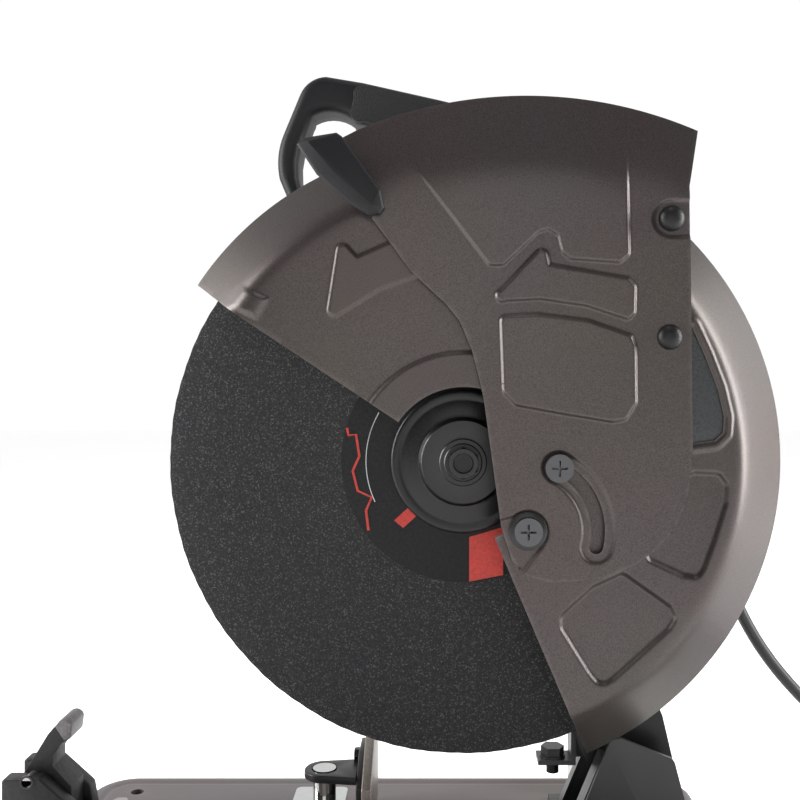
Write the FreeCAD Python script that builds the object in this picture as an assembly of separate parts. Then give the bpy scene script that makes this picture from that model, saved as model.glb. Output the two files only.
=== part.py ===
import FreeCAD, Part
import os
from math import atan2, cos, degrees, pi, radians, sin, tan

# Abrasive chop saw, millimetres, +Z up, +X towards the hinge end, +Y towards the motor.
# The origin is the centre of the four bench bolt holes, on the bench surface.

V = FreeCAD.Vector
OUT = "parts"
os.makedirs(OUT, exist_ok=True)

# ---- driving dimensions -------------------------------------------------------------
WHEEL_DIA = 355.0
WHEEL_THICK = 3.2
WHEEL_BORE = 25.4

BASE_LENGTH = 430.0
BASE_WIDTH = 280.0
BASE_TOP = 55.0
BASE_SHEET = 2.5
BASE_CORNER = 30.0
FOOT_HEIGHT = 12.0
FOOT_RADIUS = 20.0
BENCH_HOLE_RADIUS = 4.5
BENCH_HOLES_X = 360.0
BENCH_HOLES_Y = 220.0

SPINDLE_X = 49.0
WHEEL_Y = 10.0
SPINDLE_Z = 299.0

ARM_PIVOT_X = SPINDLE_X + 118.0
ARM_PIVOT_Z = 77.0

MODULE = 1.5
PINION_TEETH = 12
GEAR_TEETH = 56
MOTOR_ANGLE = 64.5
MOTOR_RADIUS = 54.0

GUARD_RADIUS = 193.0
GUARD_FACE_RADIUS = 160.0
GUARD_FACE_DEPTH = 32.0
GUARD_BACK = 15.0
GUARD_SHEET = 1.6

GUARD_PIVOT_X = SPINDLE_X + 36.3
GUARD_PIVOT_Z = SPINDLE_Z - 36.9
COVER_RADIUS = 250.0
COVER_CREASE = 214.0
COVER_FACE_DEPTH = 38.0

SCREW_Y = WHEEL_Y + 43.0
SCREW_Z = 66.0
SCREW_RADIUS = 7.0

CORD_RADIUS = 4.5

# ---- values that follow from them ---------------------------------------------------
WHEEL_RADIUS = WHEEL_DIA / 2
BORE_RADIUS = WHEEL_BORE / 2
HALF_THICK = WHEEL_THICK / 2
GEAR_RADIUS = MODULE * GEAR_TEETH / 2
PINION_RADIUS = MODULE * PINION_TEETH / 2
GEAR_DISTANCE = GEAR_RADIUS + PINION_RADIUS
MOTOR_X = SPINDLE_X + GEAR_DISTANCE * cos(radians(MOTOR_ANGLE))
MOTOR_Z = SPINDLE_Z + GEAR_DISTANCE * sin(radians(MOTOR_ANGLE))
RUNNING = 0.03

# Depths along Y from the wheel plane.
ARM_FRONT = 28.0
ARM_BACK = 44.0
CASE_BACK = 62.0
PLATE_BACK = 76.0
CAP_START = 165.0
MOTOR_BACK = 225.0


# ---- shape helpers ------------------------------------------------------------------
def box(x0, x1, y0, y1, z0, z1):
    return Part.makeBox(x1 - x0, y1 - y0, z1 - z0, V(x0, y0, z0))


def rod_x(y, z, radius, x0, x1):
    return Part.makeCylinder(radius, x1 - x0, V(x0, y, z), V(1, 0, 0))


def rod_y(x, z, radius, depth0, depth1):
    """Round bar along Y between two depths behind the wheel plane."""
    return Part.makeCylinder(radius, depth1 - depth0, V(x, WHEEL_Y + depth0, z), V(0, 1, 0))


def rod_z(x, y, radius, z0, z1):
    return Part.makeCylinder(radius, z1 - z0, V(x, y, z0), V(0, 0, 1))


def ring_y(x, z, outer, inner, depth0, depth1):
    return rod_y(x, z, outer, depth0, depth1).cut(rod_y(x, z, inner, depth0 - 1, depth1 + 1))


def cone_y(x, z, radius0, radius1, depth0, depth1):
    start = V(x, WHEEL_Y + depth0, z)
    return Part.makeCone(radius0, radius1, depth1 - depth0, start, V(0, 1, 0))


def outline_face(points, place):
    """Closed face through points; a point with four numbers ends an arc through its last two."""
    edges = []
    for index, point in enumerate(points):
        start = place(*points[index - 1][:2])
        end = place(*point[:2])
        if len(point) == 4:
            edges.append(Part.Arc(start, place(*point[2:]), end).toShape())
        else:
            edges.append(Part.LineSegment(start, end).toShape())
    return Part.Face(Part.Wire(edges))


def prism_y(points, depth0, depth1):
    """Outline in X and Z, extruded from one depth to another."""
    face = outline_face(points, lambda x, z: V(x, WHEEL_Y + depth0, z))
    return face.extrude(V(0, depth1 - depth0, 0))


def prism_z(points, z0, z1):
    face = outline_face(points, lambda x, y: V(x, y, z0))
    return face.extrude(V(0, 0, z1 - z0))


def prism_x(points, x0, x1):
    """Outline in Y and Z, extruded along X."""
    face = outline_face(points, lambda y, z: V(x0, y, z))
    return face.extrude(V(x1 - x0, 0, 0))


def round_edges(shape, radius, wanted):
    """Fillet the straight edges whose direction and middle satisfy wanted(direction, middle)."""
    chosen = []
    for edge in shape.Edges:
        if len(edge.Vertexes) == 2 and isinstance(edge.Curve, Part.Line):
            start, end = (vertex.Point for vertex in edge.Vertexes)
            if wanted((end - start).normalize(), (start + end) * 0.5):
                chosen.append(edge)
    return shape.makeFillet(radius, chosen)


def upright(direction, middle):
    return abs(direction.z) > 0.99


def polygon(centre, across_flats, place):
    corner = across_flats / 2 / cos(pi / 6)
    points = []
    for index in range(6):
        angle = pi / 3 * index
        points.append(place(centre[0] + corner * cos(angle), centre[1] + corner * sin(angle)))
    return Part.Face(Part.makePolygon(points + points[:1]))


def hex_y(x, z, across_flats, depth0, depth1):
    face = polygon((x, z), across_flats, lambda a, b: V(a, WHEEL_Y + depth0, b))
    return face.extrude(V(0, depth1 - depth0, 0))


def hex_z(x, y, across_flats, z0, z1):
    face = polygon((x, y), across_flats, lambda a, b: V(a, b, z0))
    return face.extrude(V(0, 0, z1 - z0))


def bolt_z(x, y, shank, across_flats, z_under_head, length):
    """Hex bolt pointing down, with its head above z_under_head."""
    head = hex_z(x, y, across_flats, z_under_head, z_under_head + shank * 1.3)
    return head.fuse(rod_z(x, y, shank, z_under_head - length, z_under_head))


def screw_front(x, z, head_radius, shank, depth_face, length):
    """Pan-head screw driven from the -Y side, with a cross recess in its head."""
    head_height = head_radius * 0.55
    head = rod_y(x, z, head_radius, depth_face - head_height, depth_face)
    slot = head_radius * 1.1
    top = WHEEL_Y + depth_face - head_height
    for long_x, long_z in ((slot, 1.2), (1.2, slot)):
        cutter = box(x - long_x / 2, x + long_x / 2, top - 1, top + head_height / 2,
                     z - long_z / 2, z + long_z / 2)
        head = head.cut(cutter)
    return head.fuse(rod_y(x, z, shank, depth_face, depth_face + length))


def from_hub(x, z):
    """Point given from the spindle axis."""
    return (SPINDLE_X + x, SPINDLE_Z + z)


def from_cover(x, z):
    """Point given from the movable guard's pivot."""
    return (GUARD_PIVOT_X + x, GUARD_PIVOT_Z + z)


def polar(centre, radius, angle):
    return (centre[0] + radius * cos(radians(angle)), centre[1] + radius * sin(radians(angle)))


def save(name, *shapes):
    solids = []
    for shape in shapes:
        solids.extend(shape.Solids)
    for solid in solids:
        if not solid.isValid():
            raise ValueError(name + " holds a solid that is not valid")
    whole = solids[0] if len(solids) == 1 else Part.makeCompound(solids)
    whole.exportStep(os.path.join(OUT, name + ".step"))


HUB = (SPINDLE_X, SPINDLE_Z)
COVER_PIVOT = (GUARD_PIVOT_X, GUARD_PIVOT_Z)
MOTOR = (MOTOR_X, MOTOR_Z)


# ---- base, bracket, fence -----------------------------------------------------------
PAN_BOTTOM = FOOT_HEIGHT
SLOT_HALF_WIDTH = 9.0
SLOT_FRONT = SPINDLE_X - 185.0
SLOT_BACK = SPINDLE_X + 12.0
POST_RADIUS = 10.0


def bench_holes():
    return [(sx * BENCH_HOLES_X / 2, sy * BENCH_HOLES_Y / 2) for sx in (-1, 1) for sy in (-1, 1)]


def base_pan():
    half_x = BASE_LENGTH / 2
    half_y = BASE_WIDTH / 2
    inner = BASE_SHEET
    pan = box(-half_x, half_x, -half_y, half_y, PAN_BOTTOM, BASE_TOP)
    pan = round_edges(pan, BASE_CORNER, upright)
    rim = [edge for edge in pan.Edges if edge.BoundBox.ZMin > BASE_TOP - 0.1]
    pan = pan.makeFillet(8.0, rim)
    hollow = box(-half_x + inner, half_x - inner, -half_y + inner, half_y - inner,
                 PAN_BOTTOM - 1, BASE_TOP - inner)
    hollow = round_edges(hollow, BASE_CORNER - inner, upright)
    hollow_rim = [edge for edge in hollow.Edges if edge.BoundBox.ZMin > BASE_TOP - inner - 0.1]
    pan = pan.cut(hollow.makeFillet(8.0 - inner, hollow_rim))
    for x, y in bench_holes():
        pan = pan.fuse(rod_z(x, y, POST_RADIUS, PAN_BOTTOM, BASE_TOP - inner / 2))
        pan = pan.cut(rod_z(x, y, BENCH_HOLE_RADIUS, PAN_BOTTOM - 1, BASE_TOP + 1))
    slot = box(SLOT_FRONT, SLOT_BACK, WHEEL_Y - SLOT_HALF_WIDTH, WHEEL_Y + SLOT_HALF_WIDTH,
               BASE_TOP - 2 * inner, BASE_TOP + 1)
    save("base_pan", drill_base(pan.cut(slot)))


def rubber_feet():
    feet = []
    for x, y in bench_holes():
        foot = rod_z(x, y, FOOT_RADIUS, 0, FOOT_HEIGHT)
        foot = foot.makeChamfer(1.5, [edge for edge in foot.Edges if edge.BoundBox.ZMax < 0.1])
        feet.append(foot.cut(rod_z(x, y, BENCH_HOLE_RADIUS, -1, FOOT_HEIGHT + 1)))
    save("rubber_feet", *feet)


NEAR_CHEEK = (6.0, 9.0)
FAR_CHEEK = (61.0, 64.0)
BRACKET_SHEET = 3.0
PIN_RADIUS = 7.0
ARM_HUB_RADIUS = 18.5
BRACKET_BOLTS = ((76.0, -10.0), (134.0, -10.0), (76.0, 80.0), (134.0, 80.0))


def cheek(depths, crown):
    """Side plate of the hinge bracket; crown holds its upper corners."""
    points = [from_hub(62, BASE_TOP - SPINDLE_Z)] + crown + [from_hub(146, BASE_TOP - SPINDLE_Z)]
    plate = prism_y(points, *depths)
    tips = [edge for edge in plate.Edges
            if abs(edge.BoundBox.YLength - BRACKET_SHEET) < 0.1 and edge.BoundBox.ZMin > BASE_TOP + 20]
    return plate.makeFillet(5.0, tips)


def rear_bracket():
    top = BASE_TOP + BRACKET_SHEET
    near = cheek(NEAR_CHEEK, [from_hub(91, -172), from_hub(97, -171), from_hub(130, -184),
                              from_hub(136, -207)])
    far = cheek(FAR_CHEEK, [from_hub(92, -181), from_hub(119, -183), from_hub(135, -189),
                            from_hub(142, -204)])
    bracket = near.fuse(far)
    # Sloping front webs beside the opening that the arm swings through.
    for depth0, depth1 in ((9.0, 23.0), (52.0, 61.0)):
        web = [from_hub(62, top - SPINDLE_Z), from_hub(86, -184), from_hub(89.5, -184),
               from_hub(65.5, top - SPINDLE_Z)]
        bracket = bracket.fuse(prism_y(web, depth0, depth1))
    floor_plate = box(SPINDLE_X + 62, SPINDLE_X + 146, WHEEL_Y - 20, WHEEL_Y + 90, BASE_TOP, top)
    bracket = bracket.fuse(floor_plate)
    bracket = bracket.cut(rod_y(ARM_PIVOT_X, ARM_PIVOT_Z, PIN_RADIUS, 0, 70))
    for x, depth in BRACKET_BOLTS:
        bracket = bracket.cut(rod_z(SPINDLE_X + x, WHEEL_Y + depth, 3.0, BASE_TOP - 1, top + 1))
    save("rear_bracket", bracket.removeSplitter())


def pivot_pin():
    pin = rod_y(ARM_PIVOT_X, ARM_PIVOT_Z, PIN_RADIUS, 1.0, 72.0)
    head = hex_y(ARM_PIVOT_X, ARM_PIVOT_Z, 19.0, -3.0, 6.0)
    nut = hex_y(ARM_PIVOT_X, ARM_PIVOT_Z, 19.0, 64.0, 72.0)
    save("arm_pivot_pin", pin.fuse([head, nut]))


def return_spring():
    """Torsion spring round the pin, between the arm's hub and the far cheek."""
    wire_radius = 1.8
    coil_radius = 13.5
    pitch = 4.0
    start_depth = 48.2
    turns = 2.5
    helix = Part.makeHelix(pitch, pitch * turns, coil_radius)
    helix.rotate(V(0, 0, 0), V(1, 0, 0), -90)
    helix.translate(V(ARM_PIVOT_X, WHEEL_Y + start_depth, ARM_PIVOT_Z))
    start = helix.Edges[0].Vertexes[0].Point
    tangent = helix.Edges[0].tangentAt(helix.Edges[0].FirstParameter)
    section = Part.Wire(Part.makeCircle(wire_radius, start, tangent))
    save("return_spring", Part.Wire(helix.Edges).makePipeShell([section], True, True))


FENCE_X = SPINDLE_X + 80.0
FENCE_TOP = 83.0
FENCE_SPANS = ((-120.0, -22.0), (94.0, 122.0))
FENCE_BOLT_DEPTHS = ((-104.0, -40.0), (108.0,))


def fence():
    angles = []
    for (depth0, depth1), bolts in zip(FENCE_SPANS, FENCE_BOLT_DEPTHS):
        section = [(FENCE_X, BASE_TOP), (FENCE_X + 42, BASE_TOP), (FENCE_X + 42, BASE_TOP + 5),
                   (FENCE_X + 5, BASE_TOP + 5), (FENCE_X + 5, FENCE_TOP), (FENCE_X, FENCE_TOP)]
        angle = prism_y(section, depth0, depth1)
        for depth in bolts:
            angle = angle.cut(rod_z(FENCE_X + 24, WHEEL_Y + depth, 3.0, BASE_TOP - 1, BASE_TOP + 6))
        angles.append(angle)
    save("fence", *angles)


BLOCK_X = SPINDLE_X - 237.0
BLOCK_BOLTS = ((8.0, -20.0), (8.0, 20.0))


def base_bolts():
    """M6 bolts of the bracket, the fence and the vise block."""
    bolts = []
    places = [(SPINDLE_X + x, WHEEL_Y + depth, BASE_TOP + BRACKET_SHEET) for x, depth in BRACKET_BOLTS]
    for depths in FENCE_BOLT_DEPTHS:
        places += [(FENCE_X + 24, WHEEL_Y + depth, BASE_TOP + 5) for depth in depths]
    places += [(BLOCK_X + x, SCREW_Y + y, BASE_TOP + 6) for x, y in BLOCK_BOLTS]
    for x, y, seat in places:
        length = seat - BASE_TOP + 12
        bolt = bolt_z(x, y, 3.0, 10.0, seat, length)
        bolts.append(bolt.fuse(hex_z(x, y, 10.0, BASE_TOP - BASE_SHEET - 5, BASE_TOP - BASE_SHEET)))
    save("base_bolts", *bolts)


def drill_base(shape):
    """Bolt holes through the top of the base pan."""
    places = [(SPINDLE_X + x, WHEEL_Y + depth) for x, depth in BRACKET_BOLTS]
    for depths in FENCE_BOLT_DEPTHS:
        places += [(FENCE_X + 24, WHEEL_Y + depth) for depth in depths]
    places += [(BLOCK_X + x, SCREW_Y + y) for x, y in BLOCK_BOLTS]
    for x, y in places:
        shape = shape.cut(rod_z(x, y, 3.0, BASE_TOP - 2 * BASE_SHEET, BASE_TOP + 1))
    return shape


# ---- vise ---------------------------------------------------------------------------
LEVER_PIN_X = SPINDLE_X - 274.0
LEVER_PIN_Z = 94.7
CHEEK_HALF = 22.0
CHANNEL_HALF = 11.0
JAW_PIN_X = SPINDLE_X - 89.0
JAW_FACE_X = SPINDLE_X - 57.0
CARRIER_TOP = 84.0


def vise_nut_block():
    """Cast block: two cheeks over a bored saddle, on a bolted foot."""
    profile = [from_hub(-290, BASE_TOP - SPINDLE_Z - 20), from_hub(-290, -202), from_hub(-266, -202),
               from_hub(-246, -220), from_hub(-242, BASE_TOP - SPINDLE_Z), from_hub(-264.2, BASE_TOP - SPINDLE_Z),
               from_hub(-264.2, BASE_TOP - SPINDLE_Z - 20)]
    near = SCREW_Y - WHEEL_Y - CHEEK_HALF
    block = prism_y(profile, near, near + 2 * CHEEK_HALF)
    block = block.cut(box(BLOCK_X - 60, BLOCK_X + 60, SCREW_Y - CHANNEL_HALF, SCREW_Y + CHANNEL_HALF,
                          SCREW_Z + 2, LEVER_PIN_Z + 20))
    foot = box(BLOCK_X - 19, BLOCK_X + 19, SCREW_Y - 30, SCREW_Y + 30, BASE_TOP, BASE_TOP + 6)
    block = block.fuse(foot)
    block = block.cut(rod_x(SCREW_Y, SCREW_Z, SCREW_RADIUS + 0.3, BLOCK_X - 60, BLOCK_X + 60))
    block = block.cut(rod_y(LEVER_PIN_X, LEVER_PIN_Z, 3.0, near - 1, near + 2 * CHEEK_HALF + 1))
    for x, y in BLOCK_BOLTS:
        block = block.cut(rod_z(BLOCK_X + x, SCREW_Y + y, 3.0, BASE_TOP - 1, BASE_TOP + 7))
    save("vise_nut_block", block.removeSplitter())


def lever_pin():
    near = SCREW_Y - WHEEL_Y - CHEEK_HALF
    save("lever_pin", rod_y(LEVER_PIN_X, LEVER_PIN_Z, 3.0, near, near + 2 * CHEEK_HALF))


def nut_lever():
    """Quick-release lever; its foot is the half nut that drops on the screw."""
    points = [from_hub(-281, -204), from_hub(-265, -178), from_hub(-257.5, -169.5),
              from_hub(-250, -172.5) + from_hub(-252.5, -169.5), from_hub(-251, -181), from_hub(-257, -184.5),
              from_hub(-262, -192), from_hub(-262, -199), from_hub(-250, -212),
              from_hub(-250, -229.3), from_hub(-268, -229.3), from_hub(-281, -211)]
    half = CHANNEL_HALF - 0.5
    centre = SCREW_Y - WHEEL_Y
    lever = prism_y(points, centre - half, centre + half)
    lever = lever.cut(rod_x(SCREW_Y, SCREW_Z, SCREW_RADIUS + 0.5, BLOCK_X - 60, BLOCK_X + 60))
    bore = rod_y(LEVER_PIN_X, LEVER_PIN_Z, 3.0 + RUNNING, centre - half - 1, centre + half + 1)
    save("nut_lever", lever.cut(bore))


SCREW_FRONT = SPINDLE_X - 415.0
SCREW_END = JAW_PIN_X - 6.0


def vise_screw():
    """Lead screw with ridged thread over its working length and a collar in the carrier."""
    screw = rod_x(SCREW_Y, SCREW_Z, SCREW_RADIUS - 1.2, SCREW_FRONT, SCREW_END)
    pitch = 4.0
    ridges = []
    for index in range(int((SCREW_END - 42 - SCREW_FRONT - 20) / pitch)):
        x = SCREW_FRONT + 20 + index * pitch
        ridges.append(rod_x(SCREW_Y, SCREW_Z, SCREW_RADIUS, x, x + pitch / 2))
    collar = rod_x(SCREW_Y, SCREW_Z, SCREW_RADIUS + 1.5, SCREW_END - 5, SCREW_END)
    save("vise_screw", screw.fuse(ridges + [collar]))


CRANK_ARM = 40.0
CRANK_HUB = 11.0
KNOB_RADIUS = 10.0


def vise_crank():
    hub = rod_x(SCREW_Y, SCREW_Z, CRANK_HUB, SCREW_FRONT - 14, SCREW_FRONT)
    arm = box(SCREW_FRONT - 12, SCREW_FRONT - 4, SCREW_Y - 7, SCREW_Y + 7,
              SCREW_Z, SCREW_Z + CRANK_ARM)
    boss = rod_x(SCREW_Y, SCREW_Z + CRANK_ARM, 9.0, SCREW_FRONT - 14, SCREW_FRONT - 3)
    axle = rod_x(SCREW_Y, SCREW_Z + CRANK_ARM, 3.0, SCREW_FRONT - 60, SCREW_FRONT - 14)
    head = rod_x(SCREW_Y, SCREW_Z + CRANK_ARM, 5.0, SCREW_FRONT - 62, SCREW_FRONT - 59)
    save("vise_crank", hub.fuse([arm, boss, axle, head]))


def crank_knob():
    knob = rod_x(SCREW_Y, SCREW_Z + CRANK_ARM, KNOB_RADIUS, SCREW_FRONT - 58.7, SCREW_FRONT - 14.3)
    knob = knob.makeFillet(3.0, [edge for edge in knob.Edges if edge.BoundBox.XLength < 0.1])
    bore = rod_x(SCREW_Y, SCREW_Z + CRANK_ARM, 3.0 + RUNNING, SCREW_FRONT - 70, SCREW_FRONT)
    save("crank_knob", knob.cut(bore))


def jaw_carrier():
    """Slide block on the base, with the upright pin that the jaw swivels on."""
    block = box(JAW_PIN_X - 20, JAW_PIN_X + 14, SCREW_Y - 16, SCREW_Y + 16, BASE_TOP + 0.3, CARRIER_TOP - 8)
    block = round_edges(block, 4.0, upright)
    pin = rod_z(JAW_PIN_X, SCREW_Y, 7.5, CARRIER_TOP - 8, 95.4)
    carrier = block.fuse(pin)
    carrier = carrier.cut(rod_x(SCREW_Y, SCREW_Z, SCREW_RADIUS - 1.2 + RUNNING,
                                JAW_PIN_X - 30, SCREW_END - 5.1))
    pocket = rod_x(SCREW_Y, SCREW_Z, SCREW_RADIUS + 1.5 + RUNNING, SCREW_END - 5.1, SCREW_END + 0.1)
    save("jaw_carrier", carrier.cut(pocket))


def vise_jaw():
    """Swivelling jaw: steel plate, backing plate and the lug over the pin."""
    face = JAW_FACE_X
    plate_points = [(SCREW_Y - 27, 58), (SCREW_Y + 47, 58), (SCREW_Y + 47, 112),
                    (SCREW_Y + 8, 112), (SCREW_Y - 27, 92)]
    plate = prism_x(plate_points, face - 6, face)
    backing_points = [(SCREW_Y - 20, 62), (SCREW_Y + 30, 62), (SCREW_Y + 30, 104),
                      (SCREW_Y + 4, 104), (SCREW_Y - 20, 90)]
    backing = prism_x(backing_points, face - 10, face - 6)
    lug_points = [(JAW_PIN_X, SCREW_Y - 13, JAW_PIN_X - 13, SCREW_Y), (face - 10, SCREW_Y - 16),
                  (face - 10, SCREW_Y + 16), (JAW_PIN_X, SCREW_Y + 13)]
    lug = prism_z(lug_points, 90.0, 95.0)
    lug = lug.cut(rod_z(JAW_PIN_X, SCREW_Y, 7.5 + RUNNING, 80, 100))
    save("vise_jaw", plate.fuse([backing, lug]).removeSplitter())


# ---- wheel spindle ------------------------------------------------------------------
FLANGE_RADIUS = 43.0
BEARING_SHAFT = 8.5
REAR_SHAFT = 6.0
LOCK_PLACE = polar(HUB, 33.0, -120.0)


def spindle():
    shaft = rod_y(*HUB, BORE_RADIUS, -1.0, 9.0)
    shaft = shaft.fuse([rod_y(*HUB, 15.0, 9.0, 29.0), rod_y(*HUB, BEARING_SHAFT, 29.0, 61.0),
                        rod_y(*HUB, REAR_SHAFT, 61.0, 72.0)])
    save("spindle", shaft.cut(rod_y(*HUB, 5.0, -2.0, 20.0)))


def wheel_parts():
    wheel = ring_y(*HUB, WHEEL_RADIUS, BORE_RADIUS, -HALF_THICK, HALF_THICK)
    save("abrasive_wheel", wheel)
    label = ring_y(*HUB, 73.5, BORE_RADIUS, -HALF_THICK - 0.4, -HALF_THICK)
    save("wheel_label", label)
    inner = ring_y(*HUB, FLANGE_RADIUS, BORE_RADIUS, HALF_THICK, 6.0)
    inner = inner.fuse(ring_y(*HUB, 24.0, BORE_RADIUS, 6.0, 9.0))
    save("inner_flange", inner.removeSplitter())
    seat = -HALF_THICK - 0.4
    outer = rod_y(*HUB, FLANGE_RADIUS, seat - 4.0, seat)
    outer = outer.fuse(cone_y(*HUB, 25.0, 27.0, seat - 9.0, seat - 4.0)).cut(rod_y(*HUB, 5.0, -20, 0))
    save("outer_flange", outer)
    save("flange_washer", ring_y(*HUB, 13.5, 5.0, seat - 11.5, seat - 9.0))
    head = hex_y(*HUB, 17.0, seat - 18.5, seat - 11.5)
    save("wheel_bolt", head.fuse(rod_y(*HUB, 5.0, seat - 11.5, 16.0)))


def gear_solid(centre, teeth, phase, depth0, depth1):
    """Spur gear with straight flanks and backlash; phase is the angle of one tooth."""
    pitch_radius = MODULE * teeth / 2
    root = pitch_radius - 1.25 * MODULE
    tip = pitch_radius + 0.8 * MODULE
    step = 360.0 / teeth
    points = []
    for index in range(teeth):
        middle = phase + index * step
        points.append(polar(centre, root, middle - 0.30 * step))
        points.append(polar(centre, tip, middle - 0.10 * step))
        points.append(polar(centre, tip, middle + 0.10 * step))
        points.append(polar(centre, root, middle + 0.30 * step))
    return prism_y(points, depth0, depth1)


def spindle_gear():
    gear = gear_solid(HUB, GEAR_TEETH, MOTOR_ANGLE, 46.0, 58.0)
    gear = gear.cut(rod_y(*HUB, BEARING_SHAFT, 40, 62))
    save("spindle_gear", gear.cut(rod_y(*LOCK_PLACE, 3.5, 52, 60)))


# ---- motor --------------------------------------------------------------------------
SHAFT_RADIUS = 5.0
REAR_JOURNAL = 4.0
HOUSING_WALL = 4.0


def armature():
    phase = MOTOR_ANGLE + 180 + 180.0 / PINION_TEETH
    pinion = gear_solid(MOTOR, PINION_TEETH, phase, 46.0, 59.0)
    shaft = rod_y(*MOTOR, SHAFT_RADIUS, 59.0, 203.0)
    tail = rod_y(*MOTOR, REAR_JOURNAL, 203.0, 214.0)
    save("armature_shaft", pinion.fuse([shaft, tail]))
    core = ring_y(*MOTOR, 24.0, SHAFT_RADIUS, 98.0, 150.0)
    for index in range(12):
        x, z = polar(MOTOR, 24.0, 30.0 * index)
        core = core.cut(rod_y(x, z, 1.6, 97.0, 151.0))
    windings = [ring_y(*MOTOR, 21.0, SHAFT_RADIUS, 91.0, 98.0), ring_y(*MOTOR, 21.0, SHAFT_RADIUS, 150.0, 158.0)]
    save("armature_core", core, *windings)
    drum = ring_y(*MOTOR, 14.0, SHAFT_RADIUS, 166.0, 188.0)
    save("commutator", drum)


def cooling_fan():
    hub = ring_y(*MOTOR, 12.0, SHAFT_RADIUS, 79.0, 89.0)
    disc = ring_y(*MOTOR, 42.0, SHAFT_RADIUS, 79.0, 81.0)
    blades = []
    for index in range(9):
        blade = box(MOTOR_X + 11, MOTOR_X + 42, WHEEL_Y + 80.5, WHEEL_Y + 88, MOTOR_Z - 1, MOTOR_Z + 1)
        blade.rotate(V(MOTOR_X, WHEEL_Y, MOTOR_Z), V(0, 1, 0), 40.0 * index)
        blades.append(blade)
    save("cooling_fan", hub.fuse([disc] + blades))


def motor_fixed():
    core = ring_y(*MOTOR, MOTOR_RADIUS - HOUSING_WALL, 25.5, 100.0, 148.0)
    coils = [ring_y(*MOTOR, 42.0, 27.0, 93.0, 100.0), ring_y(*MOTOR, 42.0, 27.0, 148.0, 157.0)]
    save("field_core", core, *coils)
    brushes = []
    caps = []
    for side in (-1, 1):
        near = MOTOR_X + side * 14.2
        far = MOTOR_X + side * 30.0
        brushes.append(box(min(near, far), max(near, far), WHEEL_Y + 172, WHEEL_Y + 182,
                           MOTOR_Z - 3, MOTOR_Z + 3))
        start = min(far, MOTOR_X + side * 56.0)
        length = abs(MOTOR_X + side * 56.0 - far)
        cap = Part.makeCylinder(7.0, length, V(start, WHEEL_Y + 177, MOTOR_Z), V(1, 0, 0))
        caps.append(cap)
    save("brushes", *brushes)
    save("brush_caps", *caps)
    front = ring_y(*MOTOR, 13.0, SHAFT_RADIUS + RUNNING, 64.0, 73.0)
    rear = ring_y(*MOTOR, 11.0, REAR_JOURNAL + RUNNING, 205.0, 212.0)
    save("armature_bearings", front, rear)
    front = ring_y(*HUB, 20.0, BEARING_SHAFT + RUNNING, 31.0, 42.0)
    rear = ring_y(*HUB, 14.0, REAR_SHAFT + RUNNING, 64.0, 71.0)
    save("spindle_bearings", front, rear)


GLAND_DEPTH = 137.0
GLAND_Z = SPINDLE_Z + 27.0
GLAND_TIP = SPINDLE_X + 98.0
GLAND_ROOT = MOTOR_X + 48.5
GLAND_RADIUS = 6.0
LUG_RING = MOTOR_RADIUS + 4.3
LUG_RADIUS = 6.0
LUG_ANGLES = (45.0, 135.0, 225.0, 315.0)
SCREW_SHANK = 2.5
SCREW_START = 66.0
LUG_BACK = 197.0


def motor_lugs(depth0, depth1):
    """Ears on the motor's parts that its long screws pass through."""
    return [rod_y(*polar(MOTOR, LUG_RING, angle), LUG_RADIUS, depth0, depth1) for angle in LUG_ANGLES]


def drill_lugs(shape):
    for angle in LUG_ANGLES:
        shape = shape.cut(rod_y(*polar(MOTOR, LUG_RING, angle), SCREW_SHANK, SCREW_START, LUG_BACK + 1))
    return shape


def motor_housing():
    housing = ring_y(*MOTOR, MOTOR_RADIUS, MOTOR_RADIUS - HOUSING_WALL, PLATE_BACK, CAP_START)
    housing = housing.fuse(motor_lugs(PLATE_BACK, CAP_START))
    housing = drill_lugs(housing).cut(rod_x(WHEEL_Y + GLAND_DEPTH, GLAND_Z, GLAND_RADIUS, GLAND_ROOT, GLAND_TIP))
    for index in range(10):
        slot = box(-3, 3, WHEEL_Y + 79, WHEEL_Y + 90, 40, 60)
        slot.translate(V(MOTOR_X, 0, MOTOR_Z))
        slot.rotate(V(MOTOR_X, 0, MOTOR_Z), V(0, 1, 0), 20.0 + 36.0 * index)
        housing = housing.cut(slot)
    save("motor_housing", housing)


def motor_end_cap():
    cap = rod_y(*MOTOR, MOTOR_RADIUS, CAP_START, MOTOR_BACK)
    rim = [edge for edge in cap.Edges if edge.BoundBox.YMin > WHEEL_Y + MOTOR_BACK - 0.1]
    cap = cap.makeFillet(9.0, rim)
    cap = cap.cut(rod_y(*MOTOR, MOTOR_RADIUS - HOUSING_WALL, CAP_START - 1, 204.0))
    cap = cap.cut(rod_y(*MOTOR, 11.0, 203.0, 212.0)).cut(rod_y(*MOTOR, 6.0, 211.0, 216.0))
    cap = cap.cut(rod_x(WHEEL_Y + 177, MOTOR_Z, 7.0, MOTOR_X - 60, MOTOR_X + 60))
    cap = drill_lugs(cap.fuse(motor_lugs(CAP_START, LUG_BACK)))
    for index in range(12):
        slot = box(-1.8, 1.8, WHEEL_Y + 200, WHEEL_Y + 230, 20, 40)
        slot.translate(V(MOTOR_X, 0, MOTOR_Z))
        slot.rotate(V(MOTOR_X, 0, MOTOR_Z), V(0, 1, 0), 30.0 * index)
        cap = cap.cut(slot)
    save("motor_end_cap", cap)


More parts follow.
